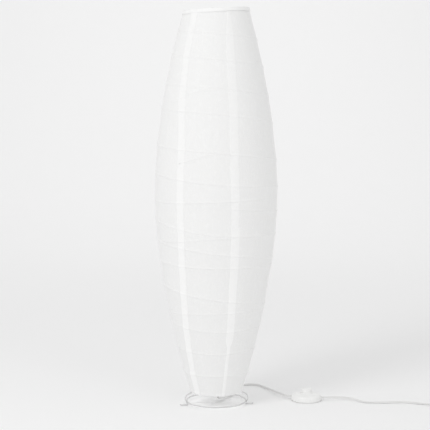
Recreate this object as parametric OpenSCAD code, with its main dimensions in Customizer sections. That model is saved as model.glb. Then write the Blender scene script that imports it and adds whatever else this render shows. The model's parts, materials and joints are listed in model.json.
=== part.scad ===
// Paper lantern floor lamp.
// Six paper gores are pasted on a hand-wound rib wire between a top and a bottom ring. Two uprights
// stretch them. A three-legged strip foot carries the stem, the lampholder and the bulb. A flat twin
// lead with a round foot switch lies on the floor.
// Units are mm, +Z is up, and the origin is on the floor under the middle of the shade.

/* [Shade] */
// Height of the top rim above the floor
lamp_h = 1150; // [1060:5:1300]
// Outer radius of the paper at its widest place
belly_r = 177.5; // [155:0.5:200]
// Height of the widest place
belly_z = 620; // [560:5:680]
// Outer radius of the paper at the top rim
top_r = 93.5; // [88:0.5:110]
// Outer radius of the paper where it starts to turn in at the bottom
bottom_r = 83; // [80:0.5:96]
// Thickness of the paper with its paste
paper_t = 0.4; // [0.3:0.1:0.8]
// Number of paper gores
gore_count = 6; // [6:1:6]
// Direction of the first seam's middle, in degrees to the right of the front
seam_at = 20; // [0:1:59]
// Width of a seam, in degrees round the shade
seam_angle = 7; // [3:0.5:12]
// Height of the binding tape round the top rim
binding_h = 13; // [8:0.5:20]
// Thickness of the binding tape
binding_t = 0.8; // [0.5:0.1:1.5]

/* [Rings and ribs] */
// Diameter of the wire of the top and the bottom ring
ring_wire_d = 3; // [2:0.5:4]
// Radius of the bottom ring, to the middle of its wire
bottom_ring_r = 74; // [70:0.5:76]
// Height of the bottom ring's middle above the floor
bottom_ring_z = 41.5; // [40:0.5:50]
// Diameter of the rib wire
rib_wire_d = 2; // [1.2:0.2:2.4]

/* [Foot] */
// Radius of the floor ring, to the middle of its wire
floor_ring_r = 87; // [80:0.5:90]
// Diameter of the floor ring's wire
floor_ring_d = 4; // [3:0.5:6]
// Width of a leg's steel strip
leg_w = 9; // [7:0.5:14]
// Thickness of a leg's steel strip
leg_t = 1.8; // [1.5:0.1:3]
// Length of the toe that is turned out on the floor
toe_l = 20; // [12:1:30]
// How far a leg bows out past the floor ring's middle
leg_bow = 9; // [8:0.5:16]
// Height of the floor ring's middle above the floor
floor_ring_z = 9.5; // [9:0.5:12]
// Radius of the hub plate
hub_r = 30; // [27:0.5:36]
// Thickness of the hub plate and of the carrier bar
plate_t = 2.5; // [2:0.25:4]
// Height of the hub plate's underside above the floor
hub_z = 63; // [60:0.5:72]

/* [Stem and uprights] */
// Outer diameter of the threaded stem tube
stem_d = 10; // [10:0.5:12]
// Bore of the stem tube
stem_bore = 7.4; // [7.2:0.1:8]
// Height of the stem's top above the floor
stem_top = 388; // [300:1:460]
// Diameter of an upright
upright_d = 5; // [4:0.5:6]
// Distance from the stem to each upright
upright_r = 50; // [46:1:56]
// Direction of the carrier bar and the top bar
bar_angle = 53.5; // [50:0.5:57]
// Width of the carrier bar and the top bar
bar_w = 12; // [11:0.5:14]

/* [Lampholder and bulb] */
// Outer radius of the lampholder
holder_r = 19.5; // [18.5:0.5:22]
// Length of the holder's shell
holder_h = 38; // [32:1:44]
// Radius of the bulb's screw cap
bulb_cap_r = 13; // [12.6:0.1:13.2]
// Length of the bulb's screw cap
bulb_cap_h = 23; // [20:1:26]
// Radius of the bulb's glass
bulb_r = 30; // [24:1:34]
// Length of the bulb's neck, from the cap to the middle of the globe
bulb_neck_h = 47; // [42:1:60]
// Thickness of the glass
glass_t = 0.8; // [0.6:0.1:1.5]

/* [Foot switch] */
// Outer radius of the switch's cover
switch_r = 44; // [38:1:50]
// Height of the cover's top
switch_h = 22; // [20:0.5:26]
// Thickness of the cover and the base plate
switch_wall = 2; // [1.5:0.25:3]
// Radius of the button
button_r = 15.5; // [12:0.5:18]
// Height of the button's top above the floor
button_top = 35; // [32:0.5:40]
// Travel of the button
button_travel = 3.5; // [2.5:0.5:4]

/* [Lead and plug] */
// Width of the flat twin lead
lead_w = 6.4; // [5.6:0.2:6.8]
// Thickness of the flat twin lead
lead_t = 3.2; // [2.6:0.2:3.4]
// Width of the plug's body
plug_w = 35.4; // [33:0.2:38]
// Thickness of the plug's body
plug_t = 13.8; // [13:0.2:16]
// Length of the plug's body
plug_l = 40; // [34:1:50]
// Diameter of a plug pin
pin_d = 4; // [4:0.1:4.8]
// Length of a plug pin
pin_l = 19; // [17:0.5:19]
// Distance between the pins
pin_gap = 18.6; // [17.5:0.1:19]

/* [Hidden] */
$fn = 96;

fit = 0.3;          // clearance between pieces that sit on one another
slip = 0.1;         // clearance of a threaded or clamped piece
round_fn = 144;     // facets of the shade and its rings
steps = 24;         // stretches of the shade's outline
white = "#f4f4f2";
paper_white = "#f8f7f3";
steel = "#b9bcc0";
brass = "#c9a54a";

// ---- Shade outline ----
upper_curve = 1.8;  // how fast the outline draws in above the belly
lower_curve = 1.7;  // and below it
tuck_h = 9;         // height over which the paper turns in under the bottom edge
ring_wire_r = ring_wire_d / 2;
paper_low = bottom_ring_z - 2;
tuck_z = paper_low + tuck_h;
tuck_in = bottom_r - (bottom_ring_r + ring_wire_r + fit + paper_t);
top_ring_z = lamp_h - binding_t - slip - ring_wire_r;
paper_high = top_ring_z;

// Radius of the shade's outside at height z, before the bottom edge turns in
function shade_r(z) = z > belly_z
    ? belly_r - (belly_r - top_r) * pow((z - belly_z) / (lamp_h - belly_z), upper_curve)
    : belly_r - (belly_r - bottom_r) * pow((belly_z - z) / (belly_z - tuck_z), lower_curve);
// The same with the bottom edge, a stretch of an ellipse
function paper_r(z) = z >= tuck_z
    ? shade_r(z)
    : shade_r(tuck_z) - tuck_in * (1 - sqrt(1 - pow(min(1, (tuck_z - z) / tuck_h), 2) * 0.96)) / 0.8;
// Heights of the outline's points, closer together where the bottom edge turns
paper_z = concat([for (i = [0:3]) paper_low + i * tuck_h / 4],
                 [for (i = [0:steps]) tuck_z + i * (paper_high - tuck_z) / steps]);
// The outline moved inwards by d, square to itself
function outline(d) = [for (z = paper_z)
    let(run = [paper_r(z + 0.5) - paper_r(z - 0.5), 1] / norm([paper_r(z + 0.5) - paper_r(z - 0.5), 1]))
    [paper_r(z) - run.y * d, z + run.x * d]];
// A closed wall between two depths below the outline
function wall(outer, inner) = concat(outline(outer), [for (i = [len(paper_z) - 1:-1:0]) outline(inner)[i]]);

top_ring_r = paper_r(top_ring_z) - paper_t - fit - ring_wire_r;

// ---- Rib wire ----
// Height of each turn on the front, at 70 degrees left, in the middle and at 70 degrees right
rib_view = 70;
upper_rows = [[1090, 1078, 1066], [1020, 1006, 990], [938, 928, 907], [868, 856, 831],
              [762, 749, 726], [683, 660, 648], [603, 612, 620]];
lower_rows = [[605, 597, 577], [548, 516, 510], [490, 465, 443], [429, 423, 425], [359, 331, 308],
              [281, 292, 294], [250, 234, 243], [174, 168, 177], [100, 102, 104]];
upper_from = -250;                            // where the upper wire starts, under the top ring
upper_to = 52;                                // where it ends, on its last turn
lower_from = 18;                              // where the lower wire starts, on its first turn
lower_to = 215;                               // where it ends, above the bottom ring
rows_h = 1150;                                // the rim height that the rows were measured at
rib_stretch = (lamp_h - bottom_ring_z) / (rows_h - bottom_ring_z);
function rib_z(z) = bottom_ring_z + (z - bottom_ring_z) * rib_stretch;
// The rows as angle and height pairs, with a height at each end
function rib_table(rows, start, finish) = concat(
    [start],
    [for (i = [0:len(rows) - 1]) for (k = [-1:1]) [360 * i + k * rib_view, rib_z(rows[i][k + 1])]],
    [finish]);
upper_table = rib_table(upper_rows, [upper_from, rib_z(1141)], [360 * 7, rib_z(624)]);
lower_table = rib_table(lower_rows, [-180, rib_z(620)], [360 * 8 + lower_to, rib_z(62)]);
// Three short lengths pasted between one turn and the next
tie_tables = [
    [[-51, 884], [-34, 906], [-18, 921], [-4, 924]],
    [[-37, 717], [-20, 732], [-8, 744]],
    [[-62, 492], [-40, 496], [-10, 507], [12, 511]]
];
rib_step = 15;
// A smoothed height at angle a
function rib_height(table, a) = (lookup(a - rib_step, table) + 2 * lookup(a, table)
                                 + lookup(a + rib_step, table)) / 4;
// A point of the wire at angle a, measured to the right of the front, just inside the paper
function rib_point(table, a) =
    let(z = rib_height(table, a), r = paper_r(z) - paper_t - fit - rib_wire_d / 2)
    [r * sin(a), -r * cos(a), z];
function rib_path(table, from, to) =
    let(n = ceil((to - from) / rib_step))
    [for (i = [0:n]) rib_point(table, from + (to - from) * i / n)];

// ---- Bent strips, rods and leads ----
function unit(v) = v / norm(v);
// The arc that rounds corner b between a and c with radius r
function bend(a, b, c, r, n) =
    let(u = unit(a - b), w = unit(c - b), half = acos(u * w) / 2,
        centre = b + unit(u + w) * r / sin(half),
        p = b + u * r / tan(half) - centre, q = b + w * r / tan(half) - centre,
        turn = 180 - 2 * half)
    [for (i = [0:n]) centre + (sin(turn * (1 - i / n)) * p + sin(turn * i / n) * q) / sin(turn)];
function place(c) = [c[0], c[1], c[2]];
// Straight runs between corners [x, y, z, bend radius], with every bend cut into pieces of about step
function route(corners, step) = concat(
    [place(corners[0])],
    [for (i = [1:len(corners) - 2])
        let(a = place(corners[i - 1]), b = place(corners[i]), c = place(corners[i + 1]), r = corners[i][3],
            turn = 180 - acos(unit(a - b) * unit(c - b)))
        each bend(a, b, c, r, max(2, ceil(turn * PI / 180 * r / step)))],
    [place(corners[len(corners) - 1])]);
// The route again with a point at least every step along its straight runs
function filled(p, step) = concat(
    [for (i = [0:len(p) - 2])
        let(n = max(1, round(norm(p[i + 1] - p[i]) / step)))
        each [for (k = [0:n - 1]) p[i] + (p[i + 1] - p[i]) * k / n]],
    [p[len(p) - 1]]);
function length_to(p, n) = n == 0 ? 0 : length_to(p, n - 1) + norm(p[n] - p[n - 1]);
function run_at(p, i) = unit(p[min(i + 1, len(p) - 1)] - p[max(i - 1, 0)]);
// The side direction carried along the path without twisting
function carried(p, side, i = 0) =
    i == len(p) ? [] : let(t = run_at(p, i), s = unit(side - (side * t) * t)) concat([s], carried(p, s, i + 1));
// Rings of the section along the path, turned by the rolls
function rings(p, section, sides, rolls) = [for (i = [0:len(p) - 1])
    let(t = run_at(p, i), s = sides[i], up = cross(t, s), roll = rolls[i])
    for (q = section)
        p[i] + s * (q.x * cos(roll) - q.y * sin(roll)) + up * (q.x * sin(roll) + q.y * cos(roll))];
// The triangles that close n rings of m points into one solid
function tube_faces(n, m) = concat(
    [for (i = [0:n - 2]) for (k = [0:m - 1]) let(a = i * m + k, b = i * m + (k + 1) % m)
        each [[a, a + m, b], [b, a + m, b + m]]],
    [for (k = [1:m - 2]) [0, k, k + 1]],
    [for (k = [1:m - 2]) let(e = (n - 1) * m) [e, e + k + 1, e + k]]);
function regular(r, m) = [for (k = [0:m - 1]) [r * cos(360 * k / m), r * sin(360 * k / m)]];

module swept(p, section, sides, rolls) {
    polyhedron(rings(p, section, sides, rolls), tube_faces(len(p), len(section)), convexity = 10);
}

// A wire of round section along a path
module wire(p, d, side) {
    swept(p, regular(d / 2, 6), carried(p, side), [for (i = p) 0]);
}

// A flat strip bent along corners [r, z, bend radius], extruded to its width across the y axis
module bent_strip(corners, t, w) {
    p = route([for (c = corners) [c[0], c[1], 0, c[2]]], 1.6);
    left = [for (i = [0:len(p) - 1]) let(d = run_at(p, i)) [p[i].x - d.y * t / 2, p[i].y + d.x * t / 2]];
    right = [for (i = [len(p) - 1:-1:0]) let(d = run_at(p, i)) [p[i].x + d.y * t / 2, p[i].y - d.x * t / 2]];
    translate([0, w / 2, 0])
        rotate([90, 0, 0])
            linear_extrude(w)
                polygon(concat(left, right));
}

module ring(r, d) {
    rotate_extrude($fn = round_fn)
        translate([r, 0])
            circle(d = d, $fn = 24);
}

module tube(r_out, r_in, z_low, z_high) {
    translate([0, 0, z_low])
        difference() {
            cylinder(r = r_out, h = z_high - z_low);
            translate([0, 0, -1])
                cylinder(r = r_in, h = z_high - z_low + 2);
        }
}

module hex_nut(across, bore_r, z_low, h) {
    translate([0, 0, z_low])
        difference() {
            cylinder(d = across / cos(30), h = h, $fn = 6);
            translate([0, 0, -1])
                cylinder(r = bore_r, h = h + 2);
        }
}

// ---- Foot sizes ----
leg_angles = [195, -4, 90];                   // left, right and back, from +X
strip_mid = leg_t / 2;
hub_top = hub_z + plate_t;
carrier_top = hub_top + plate_t;
leg_inner_r = 9.5;                            // the strips end clear of the stem's nut
leg_flat_r = 30;                              // and lie flat under the hub plate this far out
fold_r = floor_ring_r + 0.2;
seat_bend = 60;                               // bend of a strip where it passes under the bottom ring
seat_drop = 10;                               // and its drop from there to the bow
bow_r = floor_ring_r + leg_bow - 2;
seat_in = atan2(hub_z - bottom_ring_z + ring_wire_r + strip_mid, bottom_ring_r - leg_flat_r);
seat_out = atan2(seat_drop, bow_r - 2.5 - bottom_ring_r);
seat_lift = seat_bend * (1 / cos(max(0, seat_in - seat_out) / 2) - 1);
seat_z = bottom_ring_z - (ring_wire_r + strip_mid + slip) / cos(seat_in) - seat_lift - 0.1;
rivet_at = 22;
rivet_r = 2;
rivet_head_r = 3.6;
rivet_head_h = 1.4;

// ---- Stem sizes ----
stem_r = stem_d / 2;
stem_nut_h = 5;
stem_nut_across = 14;
bush_r = 8;
bush_h = 14;
bush_low = hub_z - stem_nut_h - bush_h;
stem_low = bush_low + 4;                      // the bush's floor is 4 thick
holder_low = stem_top - 8;                    // the stem screws 8 into the holder's cap
upright_low = hub_top - 8;
upright_nut_h = 4;
upright_nut_across = 8;
rod_r = upright_d / 2;
bar_drop = 15;                                // the top bar's middle lies this far under its ends
bar_end_z = top_ring_z - ring_wire_r - 0.2 - plate_t / 2;
bar_mid_z = bar_end_z - bar_drop;
upright_top = bar_mid_z + plate_t / 2 + 6;

// ---- Holder sizes ----
cap_neck_r = 7.5;
cap_h = 26;
cap_top = holder_low + cap_h;
insert_h = 8;
insert_top = cap_top + insert_h;
shell_top = cap_top + holder_h;
shell_bore = bulb_cap_r + 0.9;
tip_low = insert_top + 2.5;
terminal_x = 7.5;                             // the two terminals' distance from the middle
core_d = 2.2;                                 // diameter of one insulated core
cap_low = tip_low + 2.5;
glass_low = cap_low + bulb_cap_h;
globe_z = glass_low + bulb_neck_h;

// ---- Foot switch sizes ----
switch_place = [268, 39];                     // its middle on the floor
switch_turn = -8;                             // the lead runs through it along this direction
base_h = 3;
lead_in_z = 10.5;                             // height of the lead where it enters the cover
collar_r = 19;
collar_h = 3;
flange_r = button_r + 2.2;
button_low = switch_h - switch_wall - fit - 2; // the button's flange rests under the cover
block_h = 5;
spring_r = 6;
spring_wire_d = 0.9;
spring_turns = 4;
screw_at = 34;                                // the cover's screws stand on this circle
screw_angles = [60, 180 + 60, 180 - 60, -60];
clamp_at = 31;

// ---- Coil's place ----
coil_r = 37;                                  // the outermost loop's middle
coil_z = lead_w / 2 + 0.2;                    // the lead lies on its edge in the coil
coil_start = -110;                            // direction from the coil's middle to its start
coil_from = [672, -40];                       // where the lead goes over into the coil
coil_place = [coil_from.x - coil_r * cos(coil_start), coil_from.y - coil_r * sin(coil_start)];
// A point on the straight line through the coil's start, d further on
function coil_in(d) = [coil_from.x + d * cos(coil_start + 90), coil_from.y + d * sin(coil_start + 90), coil_z];

// ---- Lead route ----
// Corners [x, y, z, bend radius] of the lead from the bush to the switch
lead_dir = 62;                                // it leaves the bush in this direction
function switch_point(d) = [switch_place.x + d * cos(switch_turn), switch_place.y + d * sin(switch_turn),
                            lead_in_z];
lead_held = clamp_at - 6;                     // the lead ends this far from the switch's middle
lead_a = [[0, 0, bush_low], [0, 0, 12, 27], [46, 87, 4.2, 60], [56, 128, 3.4, 60], [89, 300, 3.5, 38],
          [143, 198, 3.6, 60], each [for (p = [switch_point(-switch_r - 15)]) [p.x, p.y, p.z, 26]],
          switch_point(-lead_held)];
// Rolls along it, as distance and degrees: flat at both ends, on its edge in the bend
roll_a = [[0, 0], [160, 0], [215, 90], [345, 90], [395, 0], [700, 0]];
// The lead from the switch to the coil
lead_b = [switch_point(lead_held), each [for (p = [switch_point(switch_r + 25)]) [p.x, p.y, p.z, 60]],
          [392, 40, 8, 60], [438, 2, 2.6, 60], [500, -3, 3.6, 90], [548, 4, 3.2, 60],
          each [for (p = [coil_in(-62)]) [p.x, p.y, p.z, 80]], coil_in(-lead_w)];
roll_b = [[0, 0], [45, 0], [75, 75], [110, 75], [150, 0], [190, 0], [225, 50], [260, 50], [300, 0], [345, 0],
          [395, 90]];

// ---- Lead coil ----
coil_pitch = lead_t + 0.6;                    // step of the spiral for each loop
coil_climb = lead_w + 0.6;                    // height of the second layer above the first
coil_rings = 24;
coil_turns = 4;
// Turned loops and how many steps they lie inside the outermost one: in below, then out above
coil_steps = [[0, 0], [2.5, 2.5], [3, 1], [3.5, 1], [4, 0]];
function coil_height(n) = coil_z + coil_climb * min(1, max(0, (n - 2) / 0.5));
function coil_point(n) = let(a = coil_start + 360 * n, r = coil_r - coil_pitch * lookup(n, coil_steps))
    [coil_place.x + r * cos(a), coil_place.y + r * sin(a), coil_height(n)];
coil_end = coil_point(coil_turns);
// The coil's end, d further straight on
function coil_out(d) = [coil_end.x + d * cos(coil_start + 90), coil_end.y + d * sin(coil_start + 90), coil_end.z];
coil_path = concat([coil_in(-lead_w)], [for (i = [0:coil_rings * coil_turns]) coil_point(i / coil_rings)],
                   [coil_out(lead_w)]);
// Least distance between the middles of a wound path and its own next loop, n points further on
function self_gap(p, n) = min([for (i = [0:len(p) - n]) for (k = [n - 3:n + 3])
    if (i + k < len(p)) norm(p[i + k] - p[i])]);
coil_gap = min([for (i = [0:len(coil_path) - coil_rings]) for (k = [coil_rings - 3:coil_rings + 3])
    if (i + k < len(coil_path))
        let(d = coil_path[i + k] - coil_path[i])
        max(norm([d.x, d.y]) - lead_t, abs(d.z) - lead_w)]);
upper_path = rib_path(upper_table, upper_from, 360 * 6 + upper_to);
lower_path = rib_path(lower_table, lower_from, 360 * 8 + lower_to);
rib_gap = min(self_gap(upper_path, 360 / rib_step), self_gap(lower_path, 360 / rib_step)) - rib_wire_d;
echo(coil_gap = coil_gap, rib_gap = rib_gap);

// The coil's end, and the plug beyond it
plug_turn = coil_start + 90;
plug_reach = 62;                              // the plug's body starts this far from the coil's end
plug_z = plug_t / 2 + 0.2;
relief_l = 22;                                // length of the sleeve that guards the lead
function plug_point(d, z) = [coil_end.x + d * cos(plug_turn), coil_end.y + d * sin(plug_turn), z];

// One sheet of the shade. Its last edge is raised and laid over the next sheet's first edge
module gore(k) {
    first = seam_at - seam_angle / 2 + k * 360 / gore_count - 90;
    span = 360 / gore_count;
    color(paper_white)
        rotate([0, 0, first])
            union() {
                rotate_extrude(angle = span - 0.1, $fn = round_fn)
                    polygon(wall(0, paper_t));
                rotate([0, 0, span - 0.9])
                    rotate_extrude(angle = 0.6, $fn = round_fn)
                        polygon(wall(-slip - paper_t / 2, paper_t / 2));
                rotate([0, 0, span - 1])
                    rotate_extrude(angle = 1 + seam_angle, $fn = round_fn)
                        polygon(wall(-slip - paper_t, -slip));
            }
}

module rib_wire_upper() {
    color(white)
        wire(upper_path, rib_wire_d, [0, 0, 1]);
}

module rib_wire_lower() {
    color(white)
        wire(lower_path, rib_wire_d, [0, 0, 1]);
}

module rib_wire_ties() {
    color(white)
        for (t = tie_tables)
            wire(rib_path([for (p = t) [p[0], rib_z(p[1])]], t[0][0], t[len(t) - 1][0]), rib_wire_d, [0, 0, 1]);
}

module top_ring() {
    color(white)
        translate([0, 0, top_ring_z])
            ring(top_ring_r, ring_wire_d);
}

module bottom_ring() {
    color(white)
        translate([0, 0, bottom_ring_z])
            ring(bottom_ring_r, ring_wire_d);
}

// Tape folded over the rim: a long leg outside and a short one inside the ring
module rim_binding() {
    low = lamp_h - binding_h;
    lift = paper_t + slip + fit;
    in_r = top_ring_r - ring_wire_r - slip;
    lip = top_ring_z - ring_wire_r / 2;
    color(white)
        rotate_extrude($fn = round_fn)
            polygon([[paper_r(low) + lift, low], [paper_r(low) + lift + binding_t, low],
                     [paper_r(lamp_h) + lift + binding_t, lamp_h - binding_t / 2],
                     [paper_r(lamp_h) + lift + binding_t / 2, lamp_h],
                     [in_r - binding_t / 2, lamp_h], [in_r - binding_t, lamp_h - binding_t / 2],
                     [in_r - binding_t, lip], [in_r, lip], [in_r, lamp_h - binding_t],
                     [paper_r(lamp_h) + lift, lamp_h - binding_t]]);
}

// The bar that hangs from the top ring and takes the uprights
module top_bar() {
    end_r = top_ring_r + 0.5;
    color(white)
        rotate([0, 0, bar_angle])
            difference() {
                bent_strip([[-end_r, bar_end_z], [18 - end_r, bar_end_z, 4], [28 - end_r, bar_mid_z, 4],
                            [end_r - 28, bar_mid_z, 4], [end_r - 18, bar_end_z, 4], [end_r, bar_end_z]],
                           plate_t, bar_w);
                for (side = [-1, 1])
                    translate([side * upright_r, 0, bar_mid_z - plate_t])
                        cylinder(r = rod_r + slip, h = 2 * plate_t);
            }
}

module at_upright(side) {
    rotate([0, 0, bar_angle])
        translate([side * upright_r, 0, 0])
            children();
}

module upright(side) {
    color(white)
        at_upright(side)
            translate([0, 0, upright_low])
                cylinder(r = rod_r, h = upright_top - upright_low);
}

// Domed nuts on top of the bar
module cap_nuts() {
    seat = bar_mid_z + plate_t / 2;
    color(steel)
        for (side = [-1, 1])
            at_upright(side)
                difference() {
                    union() {
                        translate([0, 0, seat])
                            cylinder(d = upright_nut_across / cos(30), h = upright_nut_h, $fn = 6);
                        translate([0, 0, seat])
                            intersection() {
                                cylinder(d = upright_nut_across - 0.4, h = 20);
                                translate([0, 0, 4.6])
                                    sphere(d = upright_nut_across - 0.4, $fn = 48);
                            }
                    }
                    translate([0, 0, seat - 1])
                        cylinder(r = rod_r + slip, h = upright_top - seat + 1.3);
                }
}

module top_nuts() {
    color(steel)
        for (side = [-1, 1])
            at_upright(side)
                hex_nut(upright_nut_across, rod_r + slip, bar_mid_z - plate_t / 2 - upright_nut_h, upright_nut_h);
}

// The bar across the hub that holds the uprights' feet
module carrier_bar() {
    half = upright_r + bar_w / 2;
    color(white)
        rotate([0, 0, bar_angle])
            translate([0, 0, hub_top])
                difference() {
                    union() {
                        translate([-upright_r, -bar_w / 2, 0])
                            cube([2 * upright_r, bar_w, plate_t]);
                        for (side = [-1, 1])
                            translate([side * upright_r, 0, 0])
                                cylinder(d = bar_w, h = plate_t);
                    }
                    for (x = [-upright_r, upright_r])
                        translate([x, 0, -1])
                            cylinder(r = rod_r + slip, h = plate_t + 2);
                    translate([0, 0, -1])
                        cylinder(r = stem_r + slip, h = plate_t + 2);
                }
}

module upright_nuts() {
    color(steel)
        for (side = [-1, 1])
            at_upright(side) {
                hex_nut(upright_nut_across, rod_r + slip, hub_top - upright_nut_h, upright_nut_h);
                hex_nut(upright_nut_across, rod_r + slip, carrier_top, upright_nut_h);
            }
}

module hub_plate() {
    color(white)
        difference() {
            tube(hub_r, stem_r + slip, hub_z, hub_top);
            for (a = leg_angles)
                rotate([0, 0, a])
                    translate([rivet_at, 0, hub_z - 1])
                        cylinder(r = rivet_r + slip, h = plate_t + 2);
        }
}

// One rivet through each strip and the plate
module hub_rivets() {
    low = hub_z - leg_t;
    color(steel)
        for (a = leg_angles)
            rotate([0, 0, a])
                translate([rivet_at, 0, 0]) {
                    translate([0, 0, low - rivet_head_h])
                        cylinder(r1 = rivet_head_r - 1, r2 = rivet_head_r, h = rivet_head_h);
                    translate([0, 0, low])
                        cylinder(r = rivet_r, h = hub_top - low);
                    translate([0, 0, hub_top])
                        cylinder(r1 = rivet_head_r, r2 = rivet_head_r - 1, h = rivet_head_h);
                }
}

// A steel strip that runs out under the hub plate and the shade's bottom ring, bows down to the floor
// ring and folds out into a toe
module leg(angle) {
    top = hub_z - strip_mid;
    color(white)
        rotate([0, 0, angle])
            difference() {
                bent_strip([[leg_inner_r, top], [leg_flat_r, top, 14], [bottom_ring_r, seat_z, seat_bend],
                            [bow_r - 2.5, seat_z - seat_drop, 12], [bow_r, floor_ring_z + 7.5, 12],
                            [fold_r, strip_mid, 1.5], [fold_r + toe_l - 3, strip_mid, 3],
                            [fold_r + toe_l + 2, strip_mid + 3.2]],
                           leg_t, leg_w);
                translate([rivet_at, 0, top - leg_t])
                    cylinder(r = rivet_r + slip, h = 2 * leg_t);
            }
}

module floor_ring() {
    color(white)
        translate([0, 0, floor_ring_z])
            ring(floor_ring_r, floor_ring_d);
}

module stem_tube() {
    color(white)
        tube(stem_r, stem_bore / 2, stem_low, stem_top);
}

// Nuts under the hub plate, on the carrier bar and under the lampholder
module stem_nuts() {
    color(steel)
        for (z = [hub_z - stem_nut_h, carrier_top, holder_low - stem_nut_h])
            hex_nut(stem_nut_across, stem_r + slip, z, stem_nut_h);
}

// The section of the twin lead, as two cores side by side
module twin(d = 0) {
    for (side = [-1, 1])
        translate([side * (lead_w - lead_t) / 2, 0])
            circle(d = lead_t + d, $fn = 32);
    square([lead_w - lead_t, lead_t * 0.7 + d], center = true);
}

// The outline of an opening that the lead passes
module slot(d) {
    for (side = [-1, 1])
        translate([side * (lead_w - lead_t) / 2, 0])
            circle(d = lead_t + d, $fn = 32);
    square([lead_w - lead_t, lead_t + d], center = true);
}

// A bush on the stem's lower end, with an oval outlet for the lead
module lead_bush() {
    color(white)
        difference() {
            union() {
                translate([0, 0, bush_low + 2])
                    cylinder(r = bush_r, h = bush_h - 2);
                translate([0, 0, bush_low])
                    cylinder(r1 = bush_r - 2, r2 = bush_r, h = 2);
            }
            translate([0, 0, stem_low])
                cylinder(r = stem_r + slip, h = bush_h);
            translate([0, 0, bush_low - 1])
                rotate([0, 0, lead_dir + 90])
                    linear_extrude(bush_h)
                        slot(2 * slip);
        }
}

// The lead inside the stem. Above the stem its two cores part and rise to the terminals
module stem_lead() {
    across = lead_dir + 90;
    core_off = (lead_w - lead_t) / 2;
    color(white) {
        translate([0, 0, bush_low])
            rotate([0, 0, across])
                linear_extrude(stem_top - bush_low)
                    twin();
        for (side = [-1, 1])
            let(x = side * core_off * cos(across), y = side * core_off * sin(across))
                wire(route([[x, y, stem_top + slip], [x, y, stem_top + 4, 3],
                            [-side * terminal_x, 0, cap_top - 9, 3],
                            [-side * terminal_x, 0, cap_top - 4 - slip]], 1.5),
                     core_d, [0, 1, 0]);
    }
}

// The holder's cap: a threaded neck that opens into the terminal chamber
module holder_cap() {
    color(white)
        translate([0, 0, holder_low])
            rotate_extrude()
                polygon([[stem_r + slip, 0], [cap_neck_r, 0], [cap_neck_r, 10], [holder_r - 3, 18],
                         [holder_r, 22], [holder_r, cap_h], [holder_r - 2.2, cap_h],
                         [holder_r - 2.2, 22], [cap_neck_r, 13], [stem_r + slip, 10]]);
}

module holder_insert() {
    color("#efece4")
        difference() {
            union() {
                translate([0, 0, cap_top - 4])
                    cylinder(r = holder_r - 2.6, h = 4);
                translate([0, 0, cap_top])
                    cylinder(r = shell_bore - 0.5, h = insert_h);
            }
            for (side = [-1, 1])
                translate([side * terminal_x, 0, cap_top - 5])
                    cylinder(r = 1.6, h = insert_h + 6, $fn = 32);
            translate([-2.2, -5, insert_top - 1.5])
                cube([4.4, 10, 3]);
        }
}

// A sprung tongue in the middle, and two terminal screws in the insert
module holder_contacts() {
    color(brass) {
        translate([-2, -4.6, insert_top - 1.4])
            cube([4, 9.2, 1]);
        translate([-2, -4.6, insert_top - 1.4])
            cube([4, 1, 3.6]);
        translate([-2, -4.6, insert_top + 1.4])
            cube([4, 7.4, 0.8]);
        for (side = [-1, 1])
            translate([side * terminal_x, 0, cap_top - 4])
                cylinder(r = 1.45, h = 9, $fn = 32);
    }
}

// The shell round the screw thread, with grip grooves below a plain mouth
module holder_shell() {
    grooves = 24;
    color(white)
        difference() {
            union() {
                tube(holder_r, shell_bore, cap_top + fit, shell_top - 5);
                tube(holder_r - 1.4, shell_bore, shell_top - 5, shell_top);
            }
            for (i = [0:grooves - 1])
                rotate([0, 0, i * 360 / grooves])
                    translate([holder_r + 0.5, 0, cap_top + 4])
                        cylinder(r = 1.1, h = holder_h - 18, $fn = 24);
        }
}

module bulb_contact() {
    color(steel)
        translate([0, 0, tip_low])
            cylinder(r1 = 3.6, r2 = 4.8, h = cap_low - tip_low - 0.35);
}

module bulb_cap() {
    color(steel)
        translate([0, 0, cap_low])
            rotate_extrude()
                polygon([[0, 0], [6, 0], [bulb_cap_r - 1.5, 4], [bulb_cap_r, 6], [bulb_cap_r, bulb_cap_h - 1],
                         [bulb_cap_r - 0.6, bulb_cap_h], [bulb_cap_r - 1.2, bulb_cap_h],
                         [bulb_cap_r - 1.2, 7], [0, 5]]);
}

// Half of the bulb's outline, moved inwards by d
module bulb_half(d) {
    neck_r = bulb_cap_r - 1.6;
    intersection() {
        union() {
            translate([0, globe_z])
                circle(r = bulb_r - d, $fn = 96);
            polygon([[0, glass_low - 3 - d], [neck_r - d, glass_low - 3 - d], [neck_r - d, glass_low + 4],
                     [(bulb_r - d) * cos(-28), globe_z + (bulb_r - d) * sin(-28)], [0, globe_z]]);
        }
        translate([0, glass_low - 10])
            square([bulb_r + 1, 200]);
    }
}

module bulb_glass() {
    color("#fbfbf8")
        rotate_extrude()
            difference() {
                bulb_half(0);
                bulb_half(glass_t);
            }
}

// ---- Foot switch ----
module at_switch() {
    translate([switch_place.x, switch_place.y, 0])
        rotate([0, 0, switch_turn])
            children();
}

module switch_base() {
    color(white)
        at_switch()
            difference() {
                cylinder(r = switch_r - switch_wall - fit, h = base_h);
                for (a = screw_angles)
                    rotate([0, 0, a])
                        translate([screw_at, 0, -1]) {
                            cylinder(r = 1.8, h = base_h + 2, $fn = 32);
                            cylinder(r = 3.2, h = 2.4, $fn = 32);
                        }
            }
}

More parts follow.
